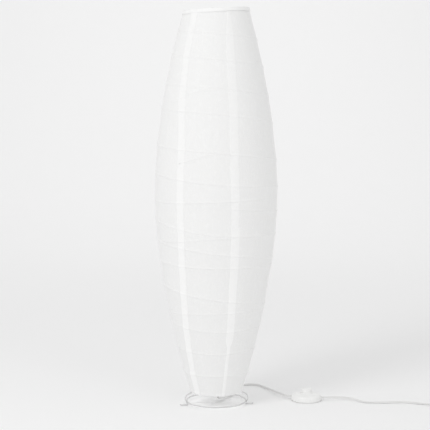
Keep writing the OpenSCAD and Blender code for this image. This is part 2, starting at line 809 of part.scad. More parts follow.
// Half of the cover's section: an upright wall, a round shoulder and a low dome up to the collar
module cover_half(d) {
    shoulder = 9;
    rim_low = base_h - 1;
    polygon(concat(
        [[0, rim_low - d * 2], [switch_r - d - 0.8, rim_low - d * 2], [switch_r - d, rim_low + 2 - d * 2]],
        [for (a = [0:10:80]) [switch_r - shoulder + (shoulder - d) * cos(a),
                              switch_h - 3 - shoulder + (shoulder - d) * sin(a)]],
        [[collar_r + 2, switch_h - 0.6 - d], [collar_r - 4, switch_h - d], [0, switch_h - d]]));
}

module switch_cover() {
    color(white)
        at_switch()
            difference() {
                union() {
                    rotate_extrude()
                        difference() {
                            cover_half(0);
                            cover_half(switch_wall);
                        }
                    translate([0, 0, switch_h - switch_wall / 2])
                        cylinder(r1 = collar_r, r2 = collar_r - 1.2, h = collar_h + switch_wall / 2);
                    for (a = screw_angles)
                        rotate([0, 0, a])
                            translate([screw_at, 0, base_h + fit])
                                cylinder(r = 3.4, h = switch_h - 5 - base_h, $fn = 32);
                }
                translate([0, 0, base_h + 1])
                    cylinder(r = button_r + fit, h = 40);
                for (a = screw_angles)
                    rotate([0, 0, a])
                        translate([screw_at, 0, base_h - 1])
                            cylinder(r = 1.4, h = 9, $fn = 32);
                for (side = [0, 180])
                    rotate([0, 0, side])
                        translate([switch_r - switch_wall - 3, 0, lead_in_z])
                            rotate([90, 0, 90])
                                linear_extrude(10)
                                    slot(2 * fit);
            }
}

// The push button: a hollow cap with a flange that stops it under the cover
module switch_button() {
    roof = 2.5;
    color(white)
        at_switch()
            rotate_extrude()
                polygon(concat(
                    [[button_r - 2, button_low], [flange_r, button_low], [flange_r, button_low + 1.6],
                     [button_r, button_low + 1.6]],
                    [for (a = [0:15:90]) [button_r - 2 + 2 * cos(a), button_top - 2 + 2 * sin(a)]],
                    [[0, button_top], [0, button_top - roof], [button_r - 2, button_top - roof]]));
}

// A conical return spring between the contact block and the button's roof
spring_low = base_h + fit + block_h;
spring_high = button_top - 2.5 - fit;
module switch_spring() {
    half_wire = spring_wire_d / 2;
    n = spring_turns * 12;
    rise = spring_high - spring_low - spring_wire_d - 0.2;
    path = [for (i = [0:n]) let(a = 360 * spring_turns * i / n)
        [spring_r * cos(a), spring_r * sin(a), spring_low + half_wire + 0.1 + rise * i / n]];
    color(steel)
        at_switch()
            wire(path, spring_wire_d, [0, 0, 1]);
}

// The latching contact block with its four terminals
module switch_block() {
    color("#e6e4de")
        at_switch()
            translate([0, 0, base_h + fit])
                difference() {
                    union() {
                        translate([-20, -9, 0])
                            cube([40, 18, block_h]);
                        cylinder(r = spring_r + 5, h = block_h);
                    }
                    for (x = [-16, 16])
                        for (y = [-5, 5])
                            translate([x, y, 1])
                                cylinder(r = 1.8, h = block_h, $fn = 32);
                }
}

// Bars that grip the lead just inside each outlet
module switch_clamps() {
    color(white)
        at_switch()
            for (side = [-1, 1])
                translate([side * clamp_at - 2.5, -7, base_h + fit])
                    difference() {
                        cube([5, 14, lead_in_z - base_h + 3]);
                        translate([-1, 7, lead_in_z - base_h - fit])
                            rotate([90, 0, 90])
                                linear_extrude(7)
                                    slot(2 * fit);
                    }
}

// Screws that hold the cover from below
module switch_screws() {
    color(steel)
        at_switch()
            for (a = screw_angles)
                rotate([0, 0, a])
                    translate([screw_at, 0, 0]) {
                        translate([0, 0, 0.3])
                            cylinder(r = 2.8, h = 1, $fn = 32);
                        translate([0, 0, 1])
                            cylinder(r = 1.3, h = 9, $fn = 32);
                    }
}

// ---- Lead ----
// The section of its solid, from the waist between the cores round
lead_section = let(a = lead_w / 2, b = lead_t / 2)
    [[0, b * 0.6], [a - b * 0.65, b], [a, b * 0.35], [a, -b * 0.35], [a - b * 0.65, -b],
     [0, -b * 0.6], [b * 0.65 - a, -b], [-a, -b * 0.35], [-a, b * 0.35], [b * 0.65 - a, b]];

module lead(corners, rolls, side) {
    p = filled(route(corners, 2.4 * lead_w), 2.4 * lead_w);
    swept(p, lead_section, carried(p, side), [for (i = [0:len(p) - 1]) lookup(length_to(p, i), rolls)]);
}

module lead_to_switch() {
    color(white)
        lead(lead_a, roll_a, [-sin(lead_dir), cos(lead_dir), 0]);
}

module lead_to_coil() {
    color(white)
        lead(lead_b, roll_b, [0, 1, 0]);
}

module lead_coil() {
    section = [[lead_w / 2, 0], [lead_w / 2 - 0.9, lead_t / 2], [0.9 - lead_w / 2, lead_t / 2],
               [-lead_w / 2, 0], [0.9 - lead_w / 2, -lead_t / 2], [lead_w / 2 - 0.9, -lead_t / 2]];
    color(white)
        swept(coil_path, section, [for (i = coil_path) [0, 0, 1]], [for (i = coil_path) 0]);
}

module lead_to_plug() {
    held = 8;                                 // length of the lead inside the plug
    color(white)
        lead([coil_out(lead_w), each [for (p = [plug_point(20, coil_end.z)]) [p.x, p.y, p.z, 40]],
              each [for (p = [plug_point(plug_reach - relief_l - 5, plug_z)]) [p.x, p.y, p.z, 40]],
              plug_point(plug_reach + held, plug_z)],
             [[0, 0], [4, 0], [32, 90], [90, 90]], [0, 0, 1]);
}

// ---- Plug ----
module at_plug() {
    translate(plug_point(plug_reach, plug_z))
        rotate([0, 0, plug_turn])
            children();
}

// A flat two-pin body that narrows to a ribbed relief sleeve round the lead
module plug_body() {
    half_w = plug_w / 2;
    half_t = plug_t / 2;
    color(white)
        at_plug()
            difference() {
                union() {
                    intersection() {
                        translate([0, 0, -half_t])
                            linear_extrude(plug_t)
                                polygon([[0, -6], [6, -7.5], [16, -half_w + 1.5], [21, -half_w], [plug_l, -half_w],
                                         [plug_l, half_w], [21, half_w], [16, half_w - 1.5], [6, 7.5], [0, 6]]);
                        rotate([90, 0, 0])
                            translate([0, 0, -half_w - 1])
                                linear_extrude(plug_w + 2)
                                    polygon([[-1, -4], [8, -5], [18, -half_t], [plug_l - 1, -half_t],
                                             [plug_l, 1 - half_t], [plug_l, half_t - 1], [plug_l - 1, half_t],
                                             [18, half_t], [8, 5], [-1, 4]]);
                    }
                    rotate([0, -90, 0])
                        for (i = [0:4])
                            translate([0, 0, i * relief_l / 5])
                                linear_extrude(relief_l / 5 - 1.4)
                                    relief_half(1.9 - 0.2 * i);
                    translate([0.5, 0, 0])
                        rotate([0, -90, 0])
                            linear_extrude(relief_l + 0.5 - 1.4)
                                relief_half(1);
                }
                translate([9, 0, 0])
                    rotate([0, -90, 0])
                        linear_extrude(relief_l + 12)
                            rotate(90)
                                slot(2 * slip);
                for (side = [-1, 1])
                    translate([plug_l - 12, side * pin_gap / 2, 0])
                        rotate([0, 90, 0])
                            cylinder(r = pin_d / 2 + slip, h = 14, $fn = 48);
            }
}

module relief_half(d) {
    square([lead_t + 2 * d, lead_w - 1], center = true);
    for (side = [-1, 1])
        translate([0, side * (lead_w - 1) / 2])
            circle(d = lead_t + 2 * d, $fn = 32);
}

// Plastic sleeves on the pins, next to the body
module plug_sleeves() {
    color(white)
        at_plug()
            for (side = [-1, 1])
                translate([plug_l + slip, side * pin_gap / 2, 0])
                    rotate([0, 90, 0])
                        difference() {
                            cylinder(r = pin_d / 2, h = pin_l * 0.53, $fn = 48);
                            translate([0, 0, -1])
                                cylinder(r = pin_d / 2 - 0.5, h = pin_l, $fn = 48);
                        }
}

module plug_pins() {
    bare = pin_l * 0.53 + slip;
    color(steel)
        at_plug()
            for (side = [-1, 1])
                translate([plug_l, side * pin_gap / 2, 0])
                    rotate([0, 90, 0]) {
                        translate([0, 0, -11])
                            cylinder(r = pin_d / 2, h = 11, $fn = 48);
                        translate([0, 0, -1])
                            cylinder(r = pin_d / 2 - 0.6, h = bare + 2, $fn = 48);
                        translate([0, 0, bare + slip])
                            cylinder(r = pin_d / 2, h = pin_l - bare - 1, $fn = 48);
                        translate([0, 0, pin_l - 1])
                            intersection() {
                                cylinder(r = pin_d / 2, h = 1, $fn = 48);
                                sphere(r = pin_d / 2 + 0.05, $fn = 48);
                            }
                    }
}

gore(0);  // paper_gore_1
gore(1);  // paper_gore_2
gore(2);  // paper_gore_3
gore(3);  // paper_gore_4
gore(4);  // paper_gore_5
gore(5);  // paper_gore_6
rib_wire_upper();
rib_wire_lower();
rib_wire_ties();
top_ring();
bottom_ring();
rim_binding();
top_bar();
upright(-1);  // upright_left
upright(1);  // upright_right
cap_nuts();
top_nuts();
carrier_bar();
upright_nuts();
hub_plate();
hub_rivets();
leg(leg_angles[0]);  // leg_left
leg(leg_angles[1]);  // leg_right
leg(leg_angles[2]);  // leg_back
floor_ring();
stem_tube();
stem_nuts();
lead_bush();
stem_lead();
holder_cap();
holder_insert();
holder_contacts();
holder_shell();
bulb_contact();
bulb_cap();
bulb_glass();
lead_to_switch();
switch_base();
switch_cover();
switch_button();
switch_spring();
switch_block();
switch_clamps();
switch_screws();
lead_to_coil();
lead_coil();
lead_to_plug();
plug_body();
plug_sleeves();
plug_pins();
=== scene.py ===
# Paper lantern floor lamp: camera, leads, paper shade, wires, foot, foot switch, finishes and light.
# Lengths in dictionaries and lists are millimetres and angles are degrees. The meshes are in metres.
import json
from math import acos, ceil, cos, pi, radians, sin, sqrt, tan
import bpy
import numpy as np
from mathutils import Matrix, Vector, noise

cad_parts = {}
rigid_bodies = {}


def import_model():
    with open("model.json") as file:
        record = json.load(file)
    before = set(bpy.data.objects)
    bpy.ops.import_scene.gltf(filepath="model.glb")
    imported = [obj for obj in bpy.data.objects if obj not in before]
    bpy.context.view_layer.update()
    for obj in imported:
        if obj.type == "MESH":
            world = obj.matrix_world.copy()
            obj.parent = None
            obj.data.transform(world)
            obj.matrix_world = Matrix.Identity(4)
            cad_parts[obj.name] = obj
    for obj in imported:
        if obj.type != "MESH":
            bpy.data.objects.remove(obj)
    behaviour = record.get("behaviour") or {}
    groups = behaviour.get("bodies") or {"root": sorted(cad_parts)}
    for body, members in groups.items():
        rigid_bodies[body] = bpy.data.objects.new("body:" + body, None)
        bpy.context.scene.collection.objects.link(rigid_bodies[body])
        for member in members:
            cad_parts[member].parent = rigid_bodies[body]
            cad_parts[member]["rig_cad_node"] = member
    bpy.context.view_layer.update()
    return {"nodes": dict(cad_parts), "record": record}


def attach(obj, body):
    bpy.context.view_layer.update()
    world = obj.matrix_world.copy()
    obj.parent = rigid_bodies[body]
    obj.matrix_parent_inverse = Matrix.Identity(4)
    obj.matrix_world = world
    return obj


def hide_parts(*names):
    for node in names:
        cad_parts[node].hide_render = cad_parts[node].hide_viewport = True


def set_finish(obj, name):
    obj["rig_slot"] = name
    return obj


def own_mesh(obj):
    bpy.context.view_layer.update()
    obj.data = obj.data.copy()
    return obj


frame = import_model()
mm = 0.001
scene = bpy.context.scene

# ---- camera ----
cameraAt = {"place": (-3.5, -3880, 980), "pitch": 6.2, "lens": 112.55, "sensor": 36.0}


def makeCamera():
    data = bpy.data.cameras.new("photoCamera")
    data.lens = cameraAt["lens"]
    data.sensor_width = cameraAt["sensor"]
    camera = bpy.data.objects.new("photoCamera", data)
    camera.location = [v * mm for v in cameraAt["place"]]
    camera.rotation_euler = (radians(90 - cameraAt["pitch"]), 0, 0)
    scene.collection.objects.link(camera)
    scene.camera = camera


makeCamera()
print("camera ready")


# ---- small helpers ----
def clearSelection():
    if bpy.context.object and bpy.context.object.mode != "OBJECT":
        bpy.ops.object.mode_set(mode="OBJECT")
    bpy.ops.object.select_all(action="DESELECT")


def pick(*pieces):
    clearSelection()
    for piece in pieces:
        piece.select_set(True)
    bpy.context.view_layer.objects.active = pieces[0]


def startPiece(name):
    piece = bpy.context.object
    piece.name = name
    piece.data.name = name
    return piece


def smooth(piece, angle=35):
    pick(piece)
    bpy.ops.object.shade_smooth_by_angle(angle=radians(angle))


def addModifier(piece, kind, **settings):
    modifier = piece.modifiers.new(kind.title(), kind)
    for key, value in settings.items():
        setattr(modifier, key, value)
    pick(piece)
    bpy.ops.object.modifier_apply(modifier=modifier.name)


# Runs mesh operators, each given with its settings, on the whole of a piece
def workOn(piece, *changes):
    pick(piece)
    bpy.ops.object.mode_set(mode="EDIT")
    bpy.ops.mesh.select_all(action="SELECT")
    for change, settings in changes:
        change(**settings)
    bpy.ops.object.mode_set(mode="OBJECT")


def outwards(piece, merge=0.00001):
    workOn(piece, (bpy.ops.mesh.remove_doubles, {"threshold": merge}),
           (bpy.ops.mesh.normals_make_consistent, {"inside": False}))


def meshPiece(name, points, faces=(), edges=()):
    mesh = bpy.data.meshes.new(name)
    mesh.from_pydata([tuple(v * mm for v in p) for p in points], edges, faces)
    piece = bpy.data.objects.new(name, mesh)
    scene.collection.objects.link(piece)
    mesh.polygons.foreach_set("use_smooth", [True] * len(mesh.polygons))
    return piece


# A grid whose points are then laid by their column and row numbers
def gridPiece(name, columns, rows):
    clearSelection()
    bpy.ops.mesh.primitive_grid_add(x_subdivisions=columns - 1, y_subdivisions=rows - 1, size=1)
    piece = startPiece(name)
    flat = np.zeros(len(piece.data.vertices) * 3)
    piece.data.vertices.foreach_get("co", flat)
    flat = flat.reshape(-1, 3)
    column = np.rint((flat[:, 0] - flat[:, 0].min()) * (columns - 1)).astype(int)
    row = np.rint((flat[:, 1] - flat[:, 1].min()) * (rows - 1)).astype(int)
    return piece, column, row


def layPoints(piece, points):
    piece.data.vertices.foreach_set("co", (np.asarray(points) * mm).astype(np.float32).ravel())
    piece.data.update()


def layMap(piece, across, along):
    corners = np.zeros(len(piece.data.loops), int)
    piece.data.loops.foreach_get("vertex_index", corners)
    both = np.stack([across[corners], along[corners]], axis=1) * mm
    piece.data.uv_layers[0].data.foreach_set("uv", both.ravel())


# A finished piece: what it is made of, which nodes it stands for and the body that it moves with
def settle(piece, slot, *nodes, body="lamp"):
    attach(piece, body)
    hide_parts(*nodes)
    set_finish(piece, slot)


def unit(v):
    return v / np.linalg.norm(v)


def eased(x):
    x = np.clip(x, 0, 1)
    return x * x * (3 - 2 * x)


def waves(points, size, seed):
    shift = Vector((seed * 17.3, seed * 5.1, seed * 9.7))
    return np.array([noise.noise(Vector(p) / size + shift) for p in points])


def smoothWaves(x, size, seed):
    return np.array([noise.noise((v / size + seed * 7.31, seed * 3.7, 0.5)) for v in x])


# Waves of several sizes on top of each other: (strength, size, seed) of each
def layered(read, where, layers):
    return sum(strength * read(where, size, seed) for strength, size, seed in layers)


# ---- routes and the pieces drawn along them ----
upright = np.array([0.0, 0, 1])


# Points of the arc that rounds the corner at b
def bend(a, b, c, radius, pieces):
    u, w = unit(a - b), unit(c - b)
    half = acos(np.clip(u @ w, -1, 1)) / 2
    centre = b + unit(u + w) * radius / sin(half)
    p = b + u * radius / tan(half) - centre
    q = b + w * radius / tan(half) - centre
    turn = pi - 2 * half
    return [centre + (sin(turn * (1 - i / pieces)) * p + sin(turn * i / pieces) * q) / sin(turn)
            for i in range(pieces + 1)]


# Straight runs between corners (x, y, z, bend radius), with a point about every step
def roundedRoute(corners, step):
    spots = [np.array(c[:3], float) for c in corners]
    run = [spots[0]]
    for i in range(1, len(spots) - 1):
        a, b, c = spots[i - 1:i + 2]
        turn = pi - acos(np.clip(unit(a - b) @ unit(c - b), -1, 1))
        run += bend(a, b, c, corners[i][3], max(2, ceil(turn * corners[i][3] / step)))
    run.append(spots[-1])
    filled = []
    for a, b in zip(run[:-1], run[1:]):
        parts = max(1, round(np.linalg.norm(b - a) / step))
        filled += [a + (b - a) * k / parts for k in range(parts)]
    return np.array(filled + [run[-1]])


def lengthsAlong(path):
    return np.concatenate([[0], np.cumsum(np.linalg.norm(np.diff(path, axis=0), axis=1))])


def directions(path):
    ahead = np.vstack([path[1:], path[-1:]]) - np.vstack([path[:1], path[:-1]])
    return ahead / np.linalg.norm(ahead, axis=1)[:, None]


# The side direction carried along a path without twisting
def carriedSide(path, side):
    sides = []
    for t in directions(path):
        side = unit(side - (side @ t) * t)
        sides.append(side)
    return np.array(sides)


# A section (side, up) drawn along a path, rolled about it by so many degrees at each point
def sweep(name, path, section, sides, rolls=None):
    points = []
    rolls = np.zeros(len(path)) if rolls is None else rolls
    for p, t, s, roll in zip(path, directions(path), sides, np.radians(rolls)):
        up = np.cross(t, s)
        points += [p + s * (x * cos(roll) - y * sin(roll)) + up * (x * sin(roll) + y * cos(roll))
                   for x, y in section]
    m, n = len(section), len(path)
    faces = [(i * m + k, i * m + (k + 1) % m, (i + 1) * m + (k + 1) % m, (i + 1) * m + k)
             for i in range(n - 1) for k in range(m)]
    faces += [tuple(range(m - 1, -1, -1)), tuple((n - 1) * m + k for k in range(m))]
    piece = meshPiece(name, points, faces)
    outwards(piece)
    smooth(piece, 50)
    return piece


# A route in the upright plane at an angle from +X, and the direction across it
def turnedRoute(corners, step, angle):
    path = roundedRoute(corners, step)
    turn = radians(angle)
    path = np.stack([path[:, 0] * cos(turn), path[:, 0] * sin(turn), path[:, 2]], axis=1)
    return path, np.array([-sin(turn), cos(turn), 0])


# ---- flat twin lead ----
lead = {
    "width": 6.4, "thick": 3.2, "waist": 0.62, "coreArc": 2.25, "step": 2.6, "outAt": 62,
    "switch": (268, 39), "switchTurn": -8, "switchRadius": 44, "inHeight": 10.5, "held": 25,
    "runIn": 15, "bendIn": 26, "runOut": 25, "bendOut": 60,
    "coilFrom": (672, -40), "coilRadius": 37, "coilHeight": 3.4, "coilStart": -110,
    "coilPitch": 3.8, "coilTurns": 4, "ringsPerTurn": 60, "toCoil": 62, "bendToCoil": 80,
    # turns so far, and by how many pitches the coil is narrower there: its last turn crosses over the others
    "coilSteps": [(0, 0), (2.5, 2.5), (3, 1), (3.5, 1), (4, 0)],
    "coilClimb": 7.0, "climbFrom": 2, "climbOver": 0.5,
    "plugReach": 62, "plugHeight": 7.1, "plugHeld": 8, "relief": 22, "reliefGap": 5,
    "fromCoil": 20, "bendToPlug": 40,
}


# A point on the lead's straight run through the switch
def switchPoint(d):
    x, y = lead["switch"]
    turn = radians(lead["switchTurn"])
    return x + d * cos(turn), y + d * sin(turn), lead["inHeight"]


# A point on the straight that the coil starts or ends on
def coilAlong(d, start=lead["coilFrom"], height=lead["coilHeight"]):
    heading = radians(lead["coilStart"] + 90)
    return start[0] + d * cos(heading), start[1] + d * sin(heading), height


def coilPoint(turn):
    start = radians(lead["coilStart"])
    x0 = lead["coilFrom"][0] - lead["coilRadius"] * cos(start)
    y0 = lead["coilFrom"][1] - lead["coilRadius"] * sin(start)
    radius = lead["coilRadius"] - lead["coilPitch"] * np.interp(turn, *zip(*lead["coilSteps"]))
    angle = start + 2 * pi * turn
    rise = lead["coilClimb"] * min(1, max(0, (turn - lead["climbFrom"]) / lead["climbOver"]))
    return x0 + radius * cos(angle), y0 + radius * sin(angle), lead["coilHeight"] + rise


# Corners of each route with their bend radius. The very first is the lead's end in the foot
footToSwitch = [(0, 0, 44), (0, 0, 12, 27), (46, 87, 4.2, 60), (56, 128, 3.4, 60), (89, 300, 3.5, 38),
                (143, 198, 3.6, 60)]
switchToCoil = [(392, 40, 8, 60), (438, 2, 2.6, 60), (500, -3, 3.6, 90), (548, 4, 3.2, 60)]
# Millimetres along each lead, and how far the flat section is rolled there
rollToSwitch = [(0, 0), (160, 0), (215, 90), (450, 90), (570, 0), (700, 0)]
rollToCoil = [(0, 0), (22, 0), (50, 80), (118, 80), (150, 0), (186, 0), (212, 75), (285, 75), (325, 0),
              (345, 0), (395, 90)]
rollToPlug = [(0, 0), (4, 0), (32, 90), (90, 90)]


# The outline of the two cores and the waist between them, wider by the room that is asked for
def twinSection(room=0, waist=lead["waist"], sides=10):
    core, off = (lead["thick"] + room) / 2, (lead["width"] - lead["thick"]) / 2
    reach = lead["coreArc"]
    right = [(off + core * cos(a), core * sin(a)) for a in np.linspace(-reach, reach, sides + 1)]
    left = [(-x, -y) for x, y in right]
    return right + [(0, core * waist)] + left + [(0, -core * waist)]


# Rolls are read along the path and eased, so that a twist has no kinks
def easedRolls(path, table, span=14):
    along = lengthsAlong(path)
    xs, ys = zip(*table)
    offsets = np.linspace(-span, span, 9)
    return np.mean([np.interp(along + d, xs, ys) for d in offsets], axis=0)


def makeLeadToSwitch():
    inHole = switchPoint(-lead["switchRadius"] - lead["runIn"])
    corners = footToSwitch + [(*inHole, lead["bendIn"]), switchPoint(-lead["held"])]
    path = roundedRoute(corners, lead["step"])
    heading = radians(lead["outAt"])
    sides = carriedSide(path, np.array([-sin(heading), cos(heading), 0]))
    return sweep("leadToSwitch", path, twinSection(), sides, easedRolls(path, rollToSwitch)), path


def makeLeadToPlug():
    outHole = switchPoint(lead["switchRadius"] + lead["runOut"])
    corners = ([switchPoint(lead["held"]), (*outHole, lead["bendOut"])] + switchToCoil
               + [(*coilAlong(-lead["toCoil"]), lead["bendToCoil"]), coilAlong(-lead["width"])])
    first = roundedRoute(corners, lead["step"])
    rolls = easedRolls(first, rollToCoil)
    sides = carriedSide(first, np.array([0.0, 1, 0]))
    rings = lead["coilTurns"] * lead["ringsPerTurn"]
    coil = np.array([coilPoint(k / lead["ringsPerTurn"]) for k in range(rings + 1)])
    end, height = coil[-1][:2], coil[-1][2]
    reliefAt = lead["plugReach"] - lead["relief"] - lead["reliefGap"]
    final = roundedRoute([coilAlong(lead["width"], end, height),
                          (*coilAlong(lead["fromCoil"], end, height), lead["bendToPlug"]),
                          (*coilAlong(reliefAt, end, lead["plugHeight"]), lead["bendToPlug"]),
                          coilAlong(lead["plugReach"] + lead["plugHeld"], end, lead["plugHeight"])],
                         lead["step"])
    sidesOn = np.vstack([[upright] * len(coil), carriedSide(final, upright)])
    # the lead arrives on its edge, and its upper side there has to be the coil's upper side
    roll = radians(rolls[-1])
    arriving = sides[-1] * cos(roll) + np.cross(directions(first)[-1], sides[-1]) * sin(roll)
    if arriving[2] < 0:
        sidesOn *= -1
    path = np.vstack([first, coil, final])
    allRolls = np.concatenate([rolls, np.zeros(len(coil)), easedRolls(final, rollToPlug, 5)])
    return sweep("leadToPlug", path, twinSection(), np.vstack([sides, sidesOn]), allRolls), path


leadToSwitch, pathToSwitch = makeLeadToSwitch()
leadToPlug, pathToPlug = makeLeadToPlug()
settle(leadToSwitch, "lead_sheath", "lead_to_switch")
settle(leadToPlug, "lead_sheath", "lead_to_coil", "lead_coil", "lead_to_plug")
print("leads laid:", round(lengthsAlong(pathToSwitch)[-1]), "and", round(lengthsAlong(pathToPlug)[-1]), "mm")

# ---- outline of the shade ----
shade = {
    "height": 1150, "belly": 178.3, "bellyAt": 620, "top": 93.5, "bottom": 80.5,
    "upperCurve": 1.8, "lowerCurve": 1.7, "tuck": 9, "hemUnder": 2,
    "hemIn": 2.4, "hemRise": 16,  # how far the paper draws in at the tuck, fading out upwards
    "bottomRing": 74, "bottomRingAt": 41.5, "topRingAt": 1147.6, "ringWire": 3, "ringGap": 0.4,
    "gores": 6, "sheet": 0.3, "lap": 0.42, "columns": 50, "flapColumns": 8, "mapApart": 400,
    "tilt": 3.3, "tiltFrom": 1040, "hollow": 0.8, "hollowGap": 65, "hollowMost": 2,
    # how much lighter the double layer of a seam looks at some heights
    "doubleShows": [(100, 1.0), (350, 0.85), (620, 0.6), (1000, 0.4)],
}
hemAt = shade["bottomRingAt"] - shade["hemUnder"]
tuckAt = hemAt + shade["tuck"]


def paperRadius(z):
    z = np.asarray(z, float)
    above = np.clip((z - shade["bellyAt"]) / (shade["height"] - shade["bellyAt"]), 0, 1)
    below = np.clip((shade["bellyAt"] - z) / (shade["bellyAt"] - tuckAt), 0, 1)
    drop = (shade["belly"] - shade["top"]) * above ** shade["upperCurve"]
    taper = (shade["belly"] - shade["bottom"]) * below ** shade["lowerCurve"]
    return shade["belly"] - drop - taper - shade["hemIn"] * np.exp((tuckAt - z) / shade["hemRise"])


# The rim leans: its right side stands higher than its left
def leaned(points):
    points = np.array(points, float)
    share = eased((points[:, 2] - shade["tiltFrom"]) / (shade["height"] - shade["tiltFrom"]))
    points[:, 2] += points[:, 0] * tan(radians(shade["tilt"])) * share
    return points


def roundPoint(azimuth, radius, z):
    a = np.radians(azimuth)
    return np.stack([radius * np.sin(a), -radius * np.cos(a), z + 0 * a], axis=-1)


# ---- rib wire ----
ribs = {
    "view": 70,  # the rows hold the height of each turn at this angle left, in the middle and right
    "upperRows": [[1090, 1078, 1066], [1020, 1006, 990], [938, 928, 907], [868, 856, 831],
                  [762, 749, 726], [683, 660, 648], [603, 612, 620]],
    "lowerRows": [[605, 597, 577], [548, 516, 510], [490, 465, 443], [429, 423, 425], [359, 331, 308],
                  [281, 292, 294], [250, 234, 243], [174, 168, 177], [100, 102, 104]],
    "upperStart": (-250, 1141), "upperEnd": (2520, 624), "upperTo": 2212,
    "lowerStart": (-180, 620), "lowerEnd": (3095, 62), "lowerFrom": 18,
    # three short cross lengths, each between one turn and the next: azimuth and height
    "ties": [[(309, 884), (326, 906), (342, 921), (356, 924)], [(323, 717), (340, 732), (352, 744)],
             [(298, 492), (320, 496), (350, 507), (372, 511)]],
    "wire": 2.0, "wireGap": 0.05, "wireStep": 3.0, "ridge": 0.95, "ridgeWidth": 1.9, "fade": 5, "blur": 15,
    "tieGap": 3, "tieFade": 25,
}


def heightTable(rows, start, end):
    inner = [(360 * i + ribs["view"] * k, rows[i][k + 1]) for i in range(len(rows)) for k in (-1, 0, 1)]
    return np.array([start] + inner + [end], float)


upperTable = heightTable(ribs["upperRows"], ribs["upperStart"], ribs["upperEnd"])
lowerTable = heightTable(ribs["lowerRows"], ribs["lowerStart"], ribs["lowerEnd"])
lowerTurns = len(ribs["lowerRows"])
# every turn from the lowest up: its table, its number along the wire and where that wire starts and ends
turnList = [(lowerTable, j, ribs["lowerFrom"], ribs["lowerEnd"][0]) for j in reversed(range(lowerTurns))]
turnList += [(upperTable, j - 1, ribs["upperStart"][0], ribs["upperTo"])
             for j in reversed(range(len(ribs["upperRows"]) + 1))]


def ribHeight(table, a):
    a = np.asarray(a, float)
    before, at, after = (np.interp(a + d, *table.T) for d in (-ribs["blur"], 0, ribs["blur"]))
    return (before + 2 * at + after) / 4


def presence(a, start, end):
    return eased((a - start) / ribs["fade"] + 1) * eased((end - a) / ribs["fade"] + 1)


# A cross length at azimuth a: the turn below it, its height and how far it is there. Beyond its ends it
# fades to the middle of the gap that it lies in
def tieAt(tie, a, heights):
    azimuths, rises = zip(*tie)
    first, last = azimuths[0], azimuths[-1]
    middle = 0.5 * (first + last)
    turns = [float(ribHeight(table, middle + 360 * j)) for table, j, start, end in turnList]
    below = int(np.searchsorted(turns, np.interp(middle, azimuths, rises))) - 1
    low, high = heights[below], heights[below + 1]
    near = eased(1 - np.maximum(np.maximum(first - a, a - last), 0) / ribs["tieFade"])
    wanted = np.clip(np.interp(a, azimuths, rises), low + ribs["tieGap"], high - ribs["tieGap"])
    return below, wanted * near + (low + high) / 2 * (1 - near), presence(a, first, last)


# Heights of all wires at azimuth a, from the lowest up, and how far each is there
def turnsAt(a):
    heights = [ribHeight(table, a + 360 * j) for table, j, start, end in turnList]
    there = [presence(a + 360 * j, start, end) for table, j, start, end in turnList]
    # past its end the upper wire's last turn is a line midway between its neighbours
    middle = (heights[lowerTurns - 1] + heights[lowerTurns + 1]) / 2
    share = there[lowerTurns]
    heights[lowerTurns] = heights[lowerTurns] * share + middle * (1 - share)
    ties = [tieAt(tie, a, heights) for tie in ribs["ties"]]
    allHeights, allThere = [], []
    for number, height in enumerate(heights):
        onTop = [tie for tie in ties if tie[0] == number]
        allHeights += [height] + [tie[1] for tie in onTop]
        allThere += [there[number]] + [tie[2] for tie in onTop]
    return np.array(allHeights), np.array(allThere)


# ---- seams: centre azimuth and width in millimetres at some heights ----
seams = [
    {"at": [(91, 16), (213, 18), (506, 18), (690, 17), (895, 18), (1005, 18), (1080, 19.5), (1130, 21)],
     "wide": [(91, 8), (190, 9), (213, 21), (500, 23), (1005, 24), (1080, 20), (1130, 9)]},
    {"at": [(90, 82), (500, 80), (1130, 78)], "wide": [(90, 20), (600, 22), (1130, 19)]},
    {"at": [(90, 139), (500, 142), (1130, 140)], "wide": [(90, 18), (600, 23), (1130, 21)]},
    {"at": [(90, 202), (500, 199), (1130, 201)], "wide": [(90, 21), (600, 21), (1130, 20)]},
    {"at": [(90, 258), (500, 261), (1130, 260)], "wide": [(90, 19), (600, 22), (1130, 22)]},
    {"at": [(85, 314), (208, 317), (358, 322), (503, 325), (756, 325), (894, 321), (1005, 319), (1117, 320)],
     "wide": [(85, 21), (503, 22), (756, 23), (1117, 22)]},
]
edgeWander = [(0.9, 31), (0.6, 9), (0.3, 3.5)]  # how far, and over what length


# Azimuths of a seam's first and last edge at height z. The cut edges wander a little
def seamEdges(number, z):
    seam = seams[number % len(seams)]
    turn = 360 * (number // len(seams))
    centre = np.interp(z, *zip(*seam["at"])) + turn
    half = np.interp(z, *zip(*seam["wide"])) / 2
    scale = np.degrees(1 / paperRadius(z))
    seed = number % len(seams) + 1
    flat = np.ravel(z)
    wander = [layered(smoothWaves, flat, [(far, size, seed + edge) for far, size in edgeWander])
              .reshape(np.shape(z)) for edge in (0, 20)]
    return centre + (wander[0] - half) * scale, centre + (wander[1] + half) * scale


# ---- paper surface ----
nearRib = np.array([1.0, 2.2, 3.8])  # rows this far from a rib
rowGap = 4.0
fullGap = 20  # in a gap narrower than this the near rows move closer to the rib
planAt = np.array([180.0])  # the azimuth whose gaps set the number of rows
crumple = {  # strength, size and seed of the paper's unevenness
    "soft": (0.5, 46, 1), "crease": (0.544, 15, 2), "creaseLift": 0.35, "fine": (0.12, 7.5, 3), "calmBy": 7,
    # how strong it is on each gore, and between which azimuths on the first one
    "gores": [0.35, 0.7, 0.8, 0.7, 0.8, 1.0], "from": 32, "to": 68,
}


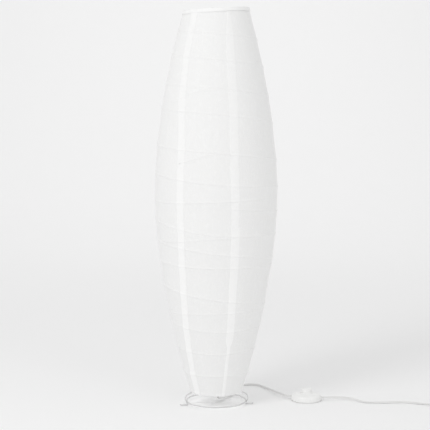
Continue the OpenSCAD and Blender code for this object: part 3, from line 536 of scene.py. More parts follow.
def rowPlan():
    typical = np.concatenate([[tuckAt], turnsAt(planAt)[0][:, 0], [shade["topRingAt"]]])
    plan = []  # per interval: how many even rows lie between the close ones
    for low, high in zip(typical[:-1], typical[1:]):
        plan.append(max(1, round((high - low - 2 * nearRib[-1]) / rowGap)))
    return plan


# Heights of the rows at each column's azimuth, from the tuck to the top ring
def rowHeights(azimuth, plan):
    heights, there = turnsAt(azimuth)
    anchors = np.vstack([np.full_like(azimuth, tuckAt), heights, np.full_like(azimuth, shade["topRingAt"])])
    weights = np.vstack([np.ones_like(azimuth), there, np.ones_like(azimuth)])
    rows = []
    for s, count in enumerate(plan):
        low, high = anchors[s], anchors[s + 1]
        squeeze = np.minimum(1, (high - low) / fullGap)
        close = nearRib[:, None] * squeeze
        start, end = low + close[-1], high - close[-1]
        rows += [low, low + close[0], low + close[1]]
        rows += [start + (end - start) * k / count for k in range(count + 1)]
        rows += [high - close[1], high - close[0]]
    rows.append(anchors[-1])
    return np.array(rows), anchors, weights


# Radius of the taut paper: straight from rib to rib, a little hollow between, pressed out over each wire.
# Also how far each point is from its nearest wire
def tautRadius(z, anchors, weights):
    radius = paperRadius(anchors)
    for s in range(1, len(anchors) - 1):
        share = (anchors[s] - anchors[s - 1]) / np.maximum(anchors[s + 1] - anchors[s - 1], 1e-6)
        chord = radius[s - 1] + (radius[s + 1] - radius[s - 1]) * share
        radius[s] = weights[s] * radius[s] + (1 - weights[s]) * chord
    out = np.array([np.interp(z[c], anchors[:, c], radius[:, c]) for c in range(len(z))])

    def bow(low, high):
        share = np.clip((z - low) / np.maximum(high - low, 1e-6), 0, 1)
        depth = np.minimum(shade["hollowMost"], ((high - low) / shade["hollowGap"]) ** 2)
        return 4 * share * (1 - share) * shade["hollow"] * depth

    for s in range(len(anchors) - 1):
        out -= bow(anchors[s], anchors[s + 1])
    farOff = 99.0
    distance = np.full_like(z, farOff)
    for s in range(1, len(anchors) - 1):
        missing = 1 - weights[s]
        out -= missing * (bow(anchors[s - 1], anchors[s + 1]) - bow(anchors[s - 1], anchors[s])
                          - bow(anchors[s], anchors[s + 1]))
        away = z - anchors[s]
        out += weights[s] * ribs["ridge"] * np.exp(-(away / ribs["ridgeWidth"]) ** 2)
        distance = np.minimum(distance, np.abs(away) + farOff * missing)
    return out, distance


# Where a gore climbs onto the next one's edge: places across the step and how far it has risen there
climb = {"before": 1.1, "at": (-0.5, 0.1, 0.7), "risen": (0.35, 0.8, 1.0)}


# Azimuths and heights of a gore's grid points with the radius of the taut paper there
def goreGrid(number, plan):
    main, flap = shade["columns"], shade["flapColumns"]
    rows = rowHeights(planAt, plan)[0].shape[0]
    z = np.tile(np.linspace(tuckAt, shade["topRingAt"], rows)[:, None], (1, main + len(climb["at"]) + flap))
    for _ in range(3):  # rows follow the ribs, and the ribs' heights follow the columns' azimuths
        start = seamEdges(number, z[:, 0])[0][:, None]
        rise, end = (edge[:, None] for edge in seamEdges(number + 1, z[:, -1]))
        scale = np.degrees(1 / paperRadius(z[:, :1]))
        body = start + (rise - climb["before"] * scale - start) * np.linspace(0, 1, main)
        lip = rise + scale * climb["at"]
        topped = rise + climb["at"][-1] * scale
        lap = topped + (end - topped) * np.linspace(0, 1, flap + 1)[1:]
        azimuth = np.hstack([body, lip, lap])
        middle = azimuth.mean(axis=0)
        z, anchors, weights = rowHeights(middle, plan)
        # heights again at each point's own azimuth
        ahead, behind = rowHeights(middle + 1, plan), rowHeights(middle - 1, plan)
        z = z + (ahead[0] - behind[0]) / 2 * (azimuth - middle)
    slope = (ahead[1] - behind[1]) / 2
    taut = [tautRadius(z[r], anchors + slope * (azimuth[r] - middle), weights) for r in range(rows)]
    return azimuth, z, np.array([radius for radius, away in taut]), np.array([away for radius, away in taut])


# The paper's unevenness, none of it at the wires
def crumpled(azimuth, z, radius, distance):
    flatPoints = roundPoint(azimuth, radius, z).reshape(-1, 3)
    count = shade["gores"]
    marks = [(360 / count * k + crumple[key], crumple["gores"][k % count])
             for k in range(-1, count + 1) for key in ("from", "to")]
    bumps = layered(waves, flatPoints, [crumple["soft"], crumple["fine"]])
    far, size, seed = crumple["crease"]
    bumps += far * (crumple["creaseLift"] - np.abs(waves(flatPoints, size, seed)))
    calm = 1 - np.exp(-(distance / crumple["calmBy"]) ** 2)
    return bumps.reshape(z.shape) * np.interp(azimuth, *zip(*marks)) * calm


# Ring and strip legs. The hem takes the legs' places from here
foot = {
    "ring": 87, "ringAt": 9.5, "ringWire": 4, "width": 9, "thick": 1.8, "edge": 0.35, "step": 0.8,
    "legs": {"left": 195, "right": -4, "back": 90},
    # middle line of a strip from the hub out to its toe: radius, height and bend
    "line": [(9.5, 62.1), (30, 62.1, 14), (74, 38.4, 60), (91.5, 28.4, 12), (94, 17, 12), (86, 0.92, 1.5),
             (104.2, 0.92, 3), (109.2, 4.1)],
}

# The turned-in bottom edge
hem = {
    # points beside the ring's inner side and under its middle: outwards from there, and up from the low end
    "inner": [(0, 12), (-0.1, 8), (0, 4.5), (0, 2), (0.6, 0.6)], "under": [(-0.6, 0.05), (1, -0.05)],
    "innerGap": 0.45, "outerGap": 0.7, "round": 0.96, "shares": (1, 0.96, 0.88, 0.76, 0.6, 0.42, 0.22),
    # its waves: strength, size and seed, read at so many millimetres to a degree, and calm near each leg
    "waves": [(0.9, 17, 4), (0.5, 6, 5)], "lift": [(0.5, 23, 6)], "leastLift": 0.25, "edge": [(1.5, 11, 8)],
    "perDegree": 1.4, "calmBy": 7, "fadeUp": 16, "innerPart": 0.2,
}


# Points (radius, height) from the hem's inner edge round the bottom ring to the tuck
def hemProfile():
    ring, half = shade["bottomRing"], shade["ringWire"] / 2
    points = [(ring - half - hem["innerGap"] + out, hemAt + up) for out, up in hem["inner"]]
    points += [(ring + out, hemAt + up) for out, up in hem["under"]]
    tuckRadius = float(paperRadius(tuckAt))
    reach = (tuckRadius - (ring + half + hem["outerGap"])) / (1 - sqrt(1 - hem["round"]))
    for share in hem["shares"]:
        inwards = reach * (1 - sqrt(1 - share ** 2 * hem["round"]))
        points.append((tuckRadius - inwards, tuckAt - share * shade["tuck"]))
    return np.array(points)


# The hem's rows for a gore whose lowest row has these azimuths, and how far that row waves in and out
def hemRows(azimuth, raised):
    profile = hemProfile()
    calm = np.ones_like(azimuth)
    for angle in foot["legs"].values():
        for leg in (angle - 270, angle + 90, angle + 450):  # its azimuth, a turn either way
            calm = calm * (1 - np.exp(-((azimuth - leg) / hem["calmBy"]) ** 2))
    along = np.mod(azimuth, 360) * hem["perDegree"]
    wavy = layered(smoothWaves, along, hem["waves"]) * calm
    lift = (layered(smoothWaves, along, hem["lift"]) + hem["leastLift"]) * calm
    ahead = np.gradient(profile, axis=0)
    outwardOf = np.stack([ahead[:, 1], -ahead[:, 0]], axis=1)
    outwardOf /= np.linalg.norm(outwardOf, axis=1)[:, None]
    part = np.linspace(hem["innerPart"], 1, len(profile))[:, None]
    radius = profile[:, :1] + wavy * part + outwardOf[:, :1] * raised
    height = profile[:, 1:] - np.abs(lift) * (1 - part) + outwardOf[:, 1:] * raised
    height[0] += layered(smoothWaves, np.radians(azimuth) * shade["bottom"], hem["edge"])
    return radius, height, wavy


def makeGore(number, plan):
    azimuth, z, radius, distance = goreGrid(number, plan)
    main, columns = shade["columns"], azimuth.shape[1]
    raised = np.ones(columns) * shade["lap"]
    raised[:main] = 0
    raised[main:main + len(climb["risen"])] *= climb["risen"]
    hemRadius, hemHeight, wavy = hemRows(azimuth[0], raised)
    radius = radius + crumpled(azimuth, z, radius, distance) + raised
    radius = radius + wavy * np.exp((tuckAt - z) / hem["fadeUp"])
    azimuth = np.vstack([np.tile(azimuth[0], (len(hemRadius), 1)), azimuth])
    radius = np.vstack([hemRadius, radius])
    z = np.vstack([hemHeight, z])
    rows = len(z)
    piece, column, row = gridPiece("paperGore%d" % (number + 1), columns, rows)
    points = leaned(roundPoint(azimuth, radius, z).reshape(-1, 3)).reshape(rows, columns, 3)
    layPoints(piece, points[row, column])
    centre = azimuth[:, columns // 2][:, None]
    across = np.radians(azimuth - centre) * radius + shade["mapApart"] * number
    layMap(piece, across[row, column], z[row, column])
    # the layers of paper at each point, for its colour
    double = np.zeros((rows, columns))
    double[:, main + 1:] = 1
    double[azimuth < seamEdges(number, np.clip(z, tuckAt, None))[1]] = 1
    double *= np.interp(z, *zip(*shade["doubleShows"]))
    attribute = piece.data.attributes.new("layers", "FLOAT", "POINT")
    attribute.data.foreach_set("value", double[row, column].astype(np.float32))
    addModifier(piece, "SOLIDIFY", thickness=shade["sheet"] * mm, offset=-1, use_even_offset=False)
    smooth(piece, 60)
    return piece


plan = rowPlan()
gores = [makeGore(number, plan) for number in range(shade["gores"])]
print("paper gores:", len(gores), "with", len(gores[0].data.polygons), "faces each")

for number, piece in enumerate(gores):
    settle(piece, "lantern_paper", "paper_gore_%d" % (number + 1))


# ---- rib wire, rings and legs ----
def wireSection(diameter, sides=8):
    angles = [2 * pi * k / sides for k in range(sides)]
    return [(diameter / 2 * cos(a), diameter / 2 * sin(a)) for a in angles]


def makeRibWire(name, azimuths, heights):
    radius = paperRadius(heights) + ribs["ridge"] - shade["sheet"] - ribs["wire"] / 2 - ribs["wireGap"]
    path = leaned(roundPoint(azimuths, radius, heights))
    return sweep(name, path, wireSection(ribs["wire"]), carriedSide(path, upright))


def anglesBetween(start, end):
    return np.arange(start, end + 0.1, ribs["wireStep"])


def makeRibWires():
    upper = anglesBetween(ribs["upperStart"][0], ribs["upperTo"])
    lower = anglesBetween(ribs["lowerFrom"], ribs["lowerEnd"][0])
    pieces = [makeRibWire("ribWireUpper", upper, ribHeight(upperTable, upper)),
              makeRibWire("ribWireLower", lower, ribHeight(lowerTable, lower))]
    ties = []
    for number, table in enumerate(ribs["ties"]):
        xs, zs = zip(*table)
        a = anglesBetween(xs[0], xs[-1])
        ties.append(makeRibWire("ribTie%d" % number, a, np.interp(a, xs, zs)))
    pick(*ties)
    bpy.ops.object.join()
    return pieces + [startPiece("ribWireTies")]


topRingRadius = (float(paperRadius(shade["topRingAt"])) - shade["ringGap"] - shade["sheet"]
                 - shade["ringWire"] / 2)


def makeRing(name, radius, wire, height):
    clearSelection()
    bpy.ops.mesh.primitive_torus_add(major_radius=radius * mm, minor_radius=wire / 2 * mm, major_segments=160,
                                     minor_segments=16, location=(0, 0, height * mm))
    piece = startPiece(name)
    bpy.ops.object.transform_apply(location=True, rotation=True, scale=True)
    layPoints(piece, leaned(np.array([v.co for v in piece.data.vertices]) / mm))
    smooth(piece, 60)
    return piece


# A flat strip's section with eased edges
def stripSection(width, thick, edge):
    x, y = width / 2, thick / 2
    return [(x, edge - y), (x, y - edge), (x - edge, y), (edge - x, y),
            (-x, y - edge), (-x, edge - y), (edge - x, -y), (x - edge, -y)]


def makeLeg(name, angle):
    corners = [(c[0], 0, c[1]) + tuple(c[2:]) for c in foot["line"]]
    path, across = turnedRoute(corners, foot["step"], angle)
    section = stripSection(foot["width"], foot["thick"], foot["edge"])
    piece = sweep(name, path, section, carriedSide(path, across))
    smooth(piece, 30)
    return piece


for piece, node in zip(makeRibWires(), ("rib_wire_upper", "rib_wire_lower", "rib_wire_ties")):
    settle(piece, "white_wire", node)
rings = [("topRing", topRingRadius, shade["ringWire"], shade["topRingAt"], "white_wire", "top_ring"),
         ("bottomRing", shade["bottomRing"], shade["ringWire"], shade["bottomRingAt"], "white_wire",
          "bottom_ring"),
         ("floorRing", foot["ring"], foot["ringWire"], foot["ringAt"], "foot_coat", "floor_ring")]
for name, radius, wire, height, slot, node in rings:
    settle(makeRing(name, radius, wire, height), slot, node)
for side, angle in foot["legs"].items():
    settle(makeLeg("leg" + side.title(), angle), "foot_coat", "leg_" + side)
print("rings and legs ready")

# ---- binding tape ----
binding = {
    "height": 10.4, "thick": 0.5, "lift": 0.7, "columns": 260, "outerRows": 8, "gap": 0.3, "rimLow": 1.2,
    # over the rim: from the outer side in, from the inner side out, and up from the rim's height
    "fromOuter": [(-0.3, -0.5), (-1, -0.1), (-2.2, 0.1)], "fromInner": [(1.4, 0.1), (0.5, -0.2), (0, -1)],
    "innerFrom": 2.2, "innerTo": 9, "innerRows": 5,
    # its cut edges and puckers: strength, size and seed of their waves, read on a circle of this radius
    "edge": [(0.55, 9, 11), (0.8, 30, 12)], "pucker": [(0.5, 3.5, 13), (0.7, 8, 14)], "readAt": 60,
    "crease": 0.3, "leastCrease": 0.4, "rimPucker": 0.25, "innerEdge": 1.2,
}


def bindingProfile():
    rim = shade["height"]
    heights = np.linspace(rim - binding["height"], rim - binding["rimLow"], binding["outerRows"])
    outer = [(float(paperRadius(z)) + binding["lift"], z) for z in heights]
    inner = topRingRadius - shade["ringWire"] / 2 - binding["gap"]
    top = [(outer[-1][0] + out, rim + up) for out, up in binding["fromOuter"]]
    top += [(inner + out, rim + up) for out, up in binding["fromInner"]]
    heights = np.linspace(rim - binding["innerFrom"], rim - binding["innerTo"], binding["innerRows"])
    return np.array(outer + top + [(inner, z) for z in heights]), len(top)


def makeBinding():
    profile, overRows = bindingProfile()
    rows, columns, outerRows = len(profile), binding["columns"], binding["outerRows"]
    azimuth = np.linspace(0, 360, columns + 1)
    around = roundPoint(azimuth[:-1], binding["readAt"], 0)
    edge = layered(waves, around, binding["edge"])
    pucker = layered(waves, around, binding["pucker"])
    radius = np.tile(profile[:, :1], (1, columns))
    z = np.tile(profile[:, 1:], (1, columns))
    share = np.linspace(1, 0, outerRows)[:, None]
    part = binding["leastCrease"] + (1 - binding["leastCrease"]) * share
    z[:outerRows] += edge * share
    radius[:outerRows] += np.abs(pucker) * binding["crease"] * part
    z[outerRows:outerRows + overRows] += pucker * binding["rimPucker"]
    z[-1] += edge[::-1] * binding["innerEdge"]
    piece, column, row = gridPiece("rimBinding", columns + 1, rows)
    points = roundPoint(np.tile(azimuth[:-1], (rows, 1)), radius, z)
    points = leaned(points.reshape(-1, 3)).reshape(points.shape)
    layPoints(piece, points[row, column % columns])  # the last column meets the first
    layMap(piece, np.radians(azimuth)[column] * shade["top"], lengthsAlong(profile)[row])
    outwards(piece)
    addModifier(piece, "SOLIDIFY", thickness=binding["thick"] * mm, offset=0, use_even_offset=False)
    smooth(piece, 60)
    return piece


settle(makeBinding(), "binding_tape", "rim_binding")
print("rim bound")

# ---- bar across the top ----
bar = {
    "at": 53.5, "width": 12, "thick": 2.5, "edge": 0.35, "step": 1.2, "gap": 0.2,
    "endPad": 0.5, "pad": 18, "slope": 10, "drop": 15, "bend": 4,
    "leanFrom": 61, "leanOver": 12,  # its ends follow the leaning ring, the rest stays level
}


def makeTopBar():
    end = topRingRadius + bar["endPad"]
    high = shade["topRingAt"] - shade["ringWire"] / 2 - bar["gap"] - bar["thick"] / 2
    inPad = end - bar["pad"]
    inSlope = inPad - bar["slope"]
    low, bent = high - bar["drop"], bar["bend"]
    corners = [(-end, 0, high), (-inPad, 0, high, bent), (-inSlope, 0, low, bent),
               (inSlope, 0, low, bent), (inPad, 0, high, bent), (end, 0, high)]
    path, across = turnedRoute(corners, bar["step"], bar["at"])
    share = eased((np.hypot(path[:, 0], path[:, 1]) - bar["leanFrom"]) / bar["leanOver"])
    path[:, 2] += path[:, 0] * tan(radians(shade["tilt"])) * share
    section = stripSection(bar["width"], bar["thick"], bar["edge"])
    piece = sweep("topBar", path, section, carriedSide(path, across))
    smooth(piece, 30)
    return piece


settle(makeTopBar(), "white_strip", "top_bar")

# ---- foot switch ----
housing = {
    "rimLow": 2, "high": 22, "wall": 2, "shoulder": 9, "brow": 3, "edge": 0.6, "turns": 144,
    # the crown: radii of its points, how far under the top it ends, and how it falls from the collar
    "crown": (33, 29, 25, 22, 20), "crownLow": 0.5, "crownWide": 18, "crownCurve": 1.6,
    "collar": 19, "collarHigh": 25, "collarFoot": (0.2, -0.2, 0.6), "collarWide": 1.7, "collarRound": 1.3,
    "gap": 0.3, "chamfer": 0.5, "ceiling": (3, -0.6),
    "slot": 0.8, "slotWaist": 0.9, "slotFrom": 8, "slotTo": 6,
}
button = {
    "radius": 15.5, "flange": 17.7, "flangeLow": 17.7, "flangeThick": 1.6, "wall": 2, "top": 35,
    "corner": 2.2,
    # its hollow top: radius and depth of each point, and its thickness
    "dish": [(9, 0.25), (4, 0.45), (0, 0.5)], "thick": 2.5,
}


# A closed profile of (radius, height) turned round an upright axis that stands at a place
def turned(name, profile, place):
    x, y = place
    edges = [(i, (i + 1) % len(profile)) for i in range(len(profile))]
    piece = meshPiece(name, [(x + r, y, z) for r, z in profile], edges=edges)
    workOn(piece, (bpy.ops.mesh.spin, {"steps": housing["turns"], "angle": 2 * pi, "axis": (0, 0, 1),
                                       "center": (x * mm, y * mm, 0)}))
    outwards(piece, 0.00002)
    smooth(piece, 32)
    return piece


def arc(x, z, radius, start, end, pieces):
    angles = np.radians(np.linspace(start, end, pieces + 1))
    return [(x + radius * cos(a), z + radius * sin(a)) for a in angles]


def makeSwitchCover():
    h, outer, low = housing, lead["switchRadius"], housing["rimLow"]
    shoulder = (outer - h["shoulder"], h["high"] - h["brow"] - h["shoulder"])
    rim = [(outer - h["wall"], low), (outer - h["edge"], low), (outer, low + h["edge"])]
    dome = arc(*shoulder, h["shoulder"], 0, 80, 12)
    start, rise = dome[-1][1], h["high"] - h["crownLow"] - dome[-1][1]
    for radius in h["crown"]:
        fall = ((radius - h["collar"]) / h["crownWide"]) ** h["crownCurve"]
        dome.append((radius, start + rise * (1 - fall)))
    out, down, up = h["collarFoot"]
    collar = [(h["collar"] + out, h["high"] + down), (h["collar"], h["high"] + up)]
    bead = h["collarRound"]
    collar += arc(h["collar"] - h["collarWide"], h["collarHigh"] - bead, bead, 15, 90, 5)
    hole = button["radius"] + h["gap"]
    ceiling = h["high"] - h["wall"]
    inside = [(hole + h["chamfer"], h["collarHigh"]), (hole, h["collarHigh"] - h["chamfer"]), (hole, ceiling),
              (h["collar"] + h["ceiling"][0], ceiling + h["ceiling"][1])]
    inside += arc(*shoulder, h["shoulder"] - h["wall"], 80, 0, 8)
    cover = turned("switchCover", rim + dome + collar + inside, lead["switch"])
    turn = radians(lead["switchTurn"])
    across = np.array([-sin(turn), cos(turn), 0])
    for side in (-1, 1):
        ends = (outer - h["slotFrom"], outer + h["slotTo"])
        path = np.array([switchPoint(side * d) for d in ends])
        cutter = sweep("cutter", path, twinSection(h["slot"], h["slotWaist"]), [across, across])
        addModifier(cover, "BOOLEAN", operation="DIFFERENCE", solver="EXACT", object=cutter)
        bpy.data.objects.remove(cutter)
    smooth(cover, 32)
    return cover


def makeSwitchButton():
    b = button
    bore, low, over = b["radius"] - b["wall"], b["flangeLow"], b["flangeLow"] + b["flangeThick"]
    profile = [(bore, low), (b["flange"], low), (b["flange"], over), (b["radius"], over)]
    profile += arc(b["radius"] - b["corner"], b["top"] - b["corner"], b["corner"], 0, 90, 8)
    profile += [(radius, b["top"] - deep) for radius, deep in b["dish"]]
    profile += [(0, b["top"] - b["thick"]), (bore, b["top"] - b["thick"])]
    return turned("switchButton", profile, lead["switch"])


spring = {"radius": 6, "wire": 0.9, "turns": 4, "low": 8.3, "length": 23.9, "gap": 0.1, "travel": 3.5}


def makeSpring():
    share = np.linspace(0, 1, spring["turns"] * 24 + 1)
    angle = 2 * pi * spring["turns"] * share + radians(lead["switchTurn"])
    x, y = lead["switch"]
    end = spring["wire"] / 2 + spring["gap"]
    path = np.stack([x + spring["radius"] * np.cos(angle), y + spring["radius"] * np.sin(angle),
                     spring["low"] + end + (spring["length"] - 2 * end) * share], axis=1)
    return sweep("switchSpring", path, wireSection(spring["wire"]), carriedSide(path, upright))


switchSpring = makeSpring()
settle(switchSpring, "plated_steel", "switch_spring")
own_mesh(switchSpring)
settle(makeSwitchCover(), "gloss_white_plastic", "switch_cover")
settle(makeSwitchButton(), "gloss_white_plastic", "switch_button", body="button")
print("switch ready")


# ---- shader maths ----
class Value:  # an output socket with arithmetic that adds Math nodes
    def __init__(self, finish, socket):
        self.finish = finish
        self.socket = socket

    def maths(self, operation, other=0.0):
        return self.finish.add("ShaderNodeMath", {"operation": operation}, {0: self, 1: other})

    def __add__(self, other):
        return self.maths("ADD", other)

    def __mul__(self, other):
        return self.maths("MULTIPLY", other)

    def __sub__(self, other):
        return self.maths("SUBTRACT", other)

    __radd__ = __add__
    __rmul__ = __mul__


class Finish:  # one material: its constant sockets, then its nodes
    def __init__(self, name, colour, roughness, **constants):
        self.material = bpy.data.materials.new(name)
        self.material.use_nodes = True
        self.tree = self.material.node_tree
        self.shader = self.tree.nodes["Principled BSDF"]
        self.shader.inputs["Base Color"].default_value = (*colour, 1)
        self.shader.inputs["Roughness"].default_value = roughness
        for key, value in constants.items():
            self.shader.inputs[key.replace("_", " ")].default_value = value

    def add(self, kind, settings=None, inputs=None, output=0):
        node = self.tree.nodes.new(kind)
        for key, value in (settings or {}).items():
            if key == "stops":
                for k, (place, grey) in enumerate(value):
                    stop = node.color_ramp.elements[k] if k < 2 else node.color_ramp.elements.new(place)
                    stop.position = place
                    stop.color = (grey, grey, grey, 1)
            else:
                setattr(node, key, value)
        for key, value in (inputs or {}).items():
            self.join(value, node.inputs[key])
        return Value(self, node.outputs[output])

    def join(self, value, socket):
        if isinstance(value, Value):
            self.tree.links.new(value.socket, socket)
        else:
            socket.default_value = value

    def feed(self, socket, value):
        self.join(value, self.shader.inputs[socket])

    def place(self, scale=None, mapped=False):
        kind, output = ("ShaderNodeUVMap", 0) if mapped else ("ShaderNodeTexCoord", 3)
        spot = self.add(kind, output=output)
        if scale is None:
            return spot
        return self.add("ShaderNodeMapping", inputs={"Vector": spot, "Scale": scale})

    def noise(self, scale, detail=2.0, spot=None, rough=0.5, distort=0.0):
        inputs = {"Vector": spot or self.place(), "Scale": scale, "Detail": detail, "Roughness": rough,
                  "Distortion": distort}
        return self.add("ShaderNodeTexNoise", inputs=inputs)

    def ramp(self, value, *stops):
        return self.add("ShaderNodeValToRGB", {"stops": stops}, {"Fac": value})

    def blend(self, factor, first, second):
        first, second = (c if isinstance(c, Value) else (*c, 1) for c in (first, second))
        return self.add("ShaderNodeMix", {"data_type": "RGBA"}, {0: factor, 6: first, 7: second}, output=2)

    def bump(self, height, strength, distance):
        inputs = {"Height": height, "Strength": strength, "Distance": distance}
        return self.add("ShaderNodeBump", inputs=inputs)


paper = {
    "single": (0.882, 0.882, 0.878), "double": (0.958, 0.958, 0.954), "roughness": 0.82, "sheen": 0.05,
    "fibre": (0.985, 0.985, 0.98), "fibreShows": 0.28, "fibreWide": 0.012, "fibreStretch": 0.32,
    "fibreLays": [(0.35, 55), (-0.6, 70), (1.4, 48)],  # turn in radians, and scale
    "cloud": (0.79, 0.79, 0.785), "cloudShows": 0.06, "cloudScale": 70,
    "creaseScale": 95.0, "creaseWide": 0.11, "creaseWander": 0.02, "toothScale": 420,
    "deep": {"crease": 0.35, "tooth": 0.4, "fibre": 0.25}, "bump": (0.5, 0.0008),
}


# Long fibres: thin bands where a stretched noise crosses its middle value
def paperFibres(f, uv):
    fibres = None
    for turn, scale in paper["fibreLays"]:
        stretch = {"Vector": uv, "Rotation": (0, 0, turn), "Scale": (1, paper["fibreStretch"], 1)}
        field = f.noise(scale, 3, f.add("ShaderNodeMapping", inputs=stretch), 0.45, 0.8)
        line = f.ramp((field - 0.5).maths("ABSOLUTE"), (0.0, 1.0), (paper["fibreWide"], 0.0))
        fibres = line if fibres is None else fibres.maths("MAXIMUM", line)
    return fibres


def lanternPaper():
    f = Finish("lanternPaper", paper["single"], paper["roughness"], Sheen_Weight=paper["sheen"])
    uv = f.place(mapped=True)
    layers = f.add("ShaderNodeAttribute", {"attribute_name": "layers"}, output=2)
    cloud = f.noise(paper["cloudScale"], 4, uv)
    fibres = paperFibres(f, uv)
    base = f.blend(layers, paper["single"], paper["double"])
    lighter = f.blend(fibres * paper["fibreShows"], base, paper["fibre"])
    clouds = f.ramp(cloud, (0.35, 1.0), (0.65, 0.0)) * paper["cloudShows"]
    f.feed("Base Color", f.blend(clouds, lighter, paper["cloud"]))
    f.feed("Roughness", 0.1 * cloud + 0.78)
    wander = f.noise(45, 2, uv) * paper["creaseWander"]
    spot = f.add("ShaderNodeVectorMath", {"operation": "ADD"}, {0: uv, 1: wander})
    creases = f.add("ShaderNodeTexVoronoi", {"feature": "DISTANCE_TO_EDGE"},
                    {"Vector": spot, "Scale": paper["creaseScale"]})
    crackle = f.ramp(creases, (0.0, 0.0), (paper["creaseWide"], 1.0))
    deep = paper["deep"]
    height = crackle * deep["crease"] + f.noise(paper["toothScale"], 3, uv) * deep["tooth"]
    f.feed("Normal", f.bump(height + fibres * deep["fibre"], *paper["bump"]))
    return f.material


def bindingTape():
    f = Finish("bindingTape", (0.93, 0.925, 0.915), 0.7)
    uv = f.place(mapped=True)
    weave = f.noise(900, 2, uv)
    cloud = f.noise(60, 3, uv)
    share = f.ramp(cloud, (0.3, 0.0), (0.7, 1.0)) * 0.5
    f.feed("Base Color", f.blend(share, (0.93, 0.93, 0.926), (0.87, 0.87, 0.866)))
    f.feed("Normal", f.bump(weave + cloud * 2, 0.3, 0.0003))
    return f.material


def painted(name, colour, roughness, grain=900, depth=0.0001, dust=0.06):
    f = Finish(name, colour, roughness)
    spots = f.noise(38, 4)
    dark = tuple(c * (1 - dust) for c in colour)
    f.feed("Base Color", f.blend(f.ramp(spots, (0.4, 0.0), (0.72, 1.0)), colour, dark))
    f.feed("Roughness", roughness + 0.12 * f.noise(120, 3) - 0.06)
    f.feed("Normal", f.bump(f.noise(grain, 2), 0.25, depth))
    return f.material


def metal(name, colour, roughness, streak=(1, 1, 1)):
    f = Finish(name, colour, roughness, Metallic=1.0)
    grain = f.noise(700, 3, f.place(streak))
    f.feed("Base Color", f.blend(grain * 0.5, colour, tuple(c * 0.82 for c in colour)))
    f.feed("Roughness", roughness + 0.18 * grain - 0.06)
    f.feed("Normal", f.bump(grain, 0.2, 0.00005))
    return f.material


def opalGlass():
    f = Finish("opalGlass", (0.93, 0.93, 0.92), 0.18, Coat_Weight=0.3, Coat_Roughness=0.05)
    f.feed("Base Color", f.blend(f.noise(25, 2) * 0.4, (0.94, 0.94, 0.93), (0.90, 0.90, 0.89)))
    f.feed("Normal", f.bump(f.noise(60, 1), 0.1, 0.0002))
    return f.material


# painted: name, colour, roughness, scale and depth of the grain, dust. metal: the last is its streaks' scale
finishes = {
    "lantern_paper": lanternPaper(),
    "binding_tape": bindingTape(),
    "white_wire": painted("wireEnamel", (0.80, 0.80, 0.79), 0.38, 500),
    "white_strip": painted("stripCoat", (0.80, 0.80, 0.79), 0.42, 1100),
    "foot_coat": painted("footCoat", (0.70, 0.70, 0.70), 0.45, 900),
    "white_plastic": painted("mattPlastic", (0.84, 0.84, 0.82), 0.45, 1500, 0.00005, 0.03),
    "gloss_white_plastic": painted("glossPlastic", (0.90, 0.90, 0.89), 0.3, 60, 0.00003, 0.02),
    "lead_sheath": painted("leadSheath", (0.79, 0.79, 0.78), 0.4, 300, 0.0001, 0.04),
    "plated_steel": metal("zincPlate", (0.72, 0.73, 0.75), 0.32),
    "brass": metal("springBrass", (0.80, 0.64, 0.32), 0.28, (1, 6, 1)),
    "nickel": metal("nickelPlate", (0.75, 0.74, 0.71), 0.2, (8, 8, 1)),
    "cap_aluminium": metal("rolledAluminium", (0.80, 0.80, 0.81), 0.3, (1, 1, 7)),
    "holder_insert": painted("bakedCeramic", (0.82, 0.79, 0.72), 0.6, 700, 0.00015, 0.08),
    "opal_glass": opalGlass(),
}


def dress(piece, slot):
    if not piece.material_slots:
        piece.data.materials.append(finishes[slot])
    for holder in piece.material_slots:
        holder.material = finishes[slot]


for part in frame["record"]["subparts"]:
    dress(frame["nodes"][part["node"]], part["material_slot"])
for piece in scene.objects:
    if piece.get("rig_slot") and "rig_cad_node" not in piece:
        dress(piece, piece["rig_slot"])
print("finishes:", len(finishes))


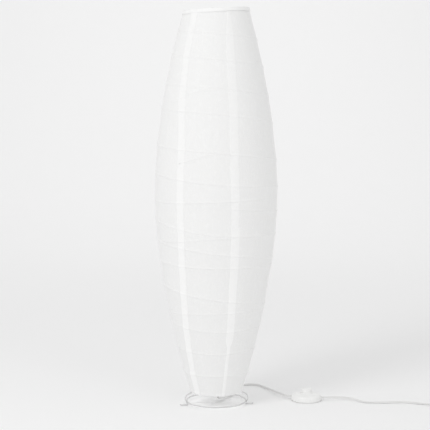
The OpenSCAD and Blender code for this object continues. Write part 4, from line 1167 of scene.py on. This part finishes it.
# ---- stage and light, in metres ----
stageSet = {"tone": (0.95, 0.95, 0.95), "backAt": 7.0, "curve": 3.0, "wide": 24, "front": -9, "high": 9}
lights = {
    "key": {"at": (-2.5, -2.9, 3.2), "aim": (0, 0, 0.55), "size": 1.8, "watts": 42},
    "fill": {"at": (2.4, -3.4, 1.6), "aim": (0, 0, 0.5), "size": 2.0, "watts": 10},
    # lights what lies under the shade, as what comes through the paper
    "glow": {"at": (0, 0, 0.1), "aim": (0, 0, 0), "size": 0.13, "watts": 0.088},
    # lights the backdrop only
    "wash": {"at": (0, 3.6, 3.6), "aim": (0, 7, 0.8), "size": 3.0, "watts": 18},
}
worldLight = 0.78


def makeStage():
    radius = stageSet["curve"]
    profile = [(stageSet["front"], 0.0)]
    for a in np.linspace(0, pi / 2, 14):
        profile.append((stageSet["backAt"] - radius + radius * sin(a), radius - radius * cos(a)))
    profile.append((stageSet["backAt"], stageSet["high"]))
    half = stageSet["wide"] / 2
    points = [(x / mm, y / mm, z / mm) for y, z in profile for x in (-half, half)]
    faces = [(2 * i, 2 * i + 1, 2 * i + 3, 2 * i + 2) for i in range(len(profile) - 1)]
    backdrop = meshPiece("backdrop", points, faces)
    f = Finish("backdropPaper", stageSet["tone"], 0.9)
    f.shader.inputs["Specular IOR Level"].default_value = 0.1
    backdrop.data.materials.append(f.material)


def makeLights():
    for name, light in lights.items():
        data = bpy.data.lights.new(name + "Light", "AREA")
        data.shape = "DISK"
        data.size = light["size"]
        data.energy = light["watts"]
        placed = bpy.data.objects.new(name + "Light", data)
        placed.location = light["at"]
        placed.visible_camera = False
        aim = Vector(light["aim"]) - Vector(light["at"])
        placed.rotation_euler = aim.to_track_quat("-Z", "Y").to_euler()
        scene.collection.objects.link(placed)
    world = bpy.data.worlds.new("studio")
    world.use_nodes = True
    world.node_tree.nodes["Background"].inputs["Color"].default_value = (1, 1, 1, 1)
    world.node_tree.nodes["Background"].inputs["Strength"].default_value = worldLight
    scene.world = world
    scene.view_settings.view_transform = "Standard"


makeStage()
makeLights()
print("stage and light ready")
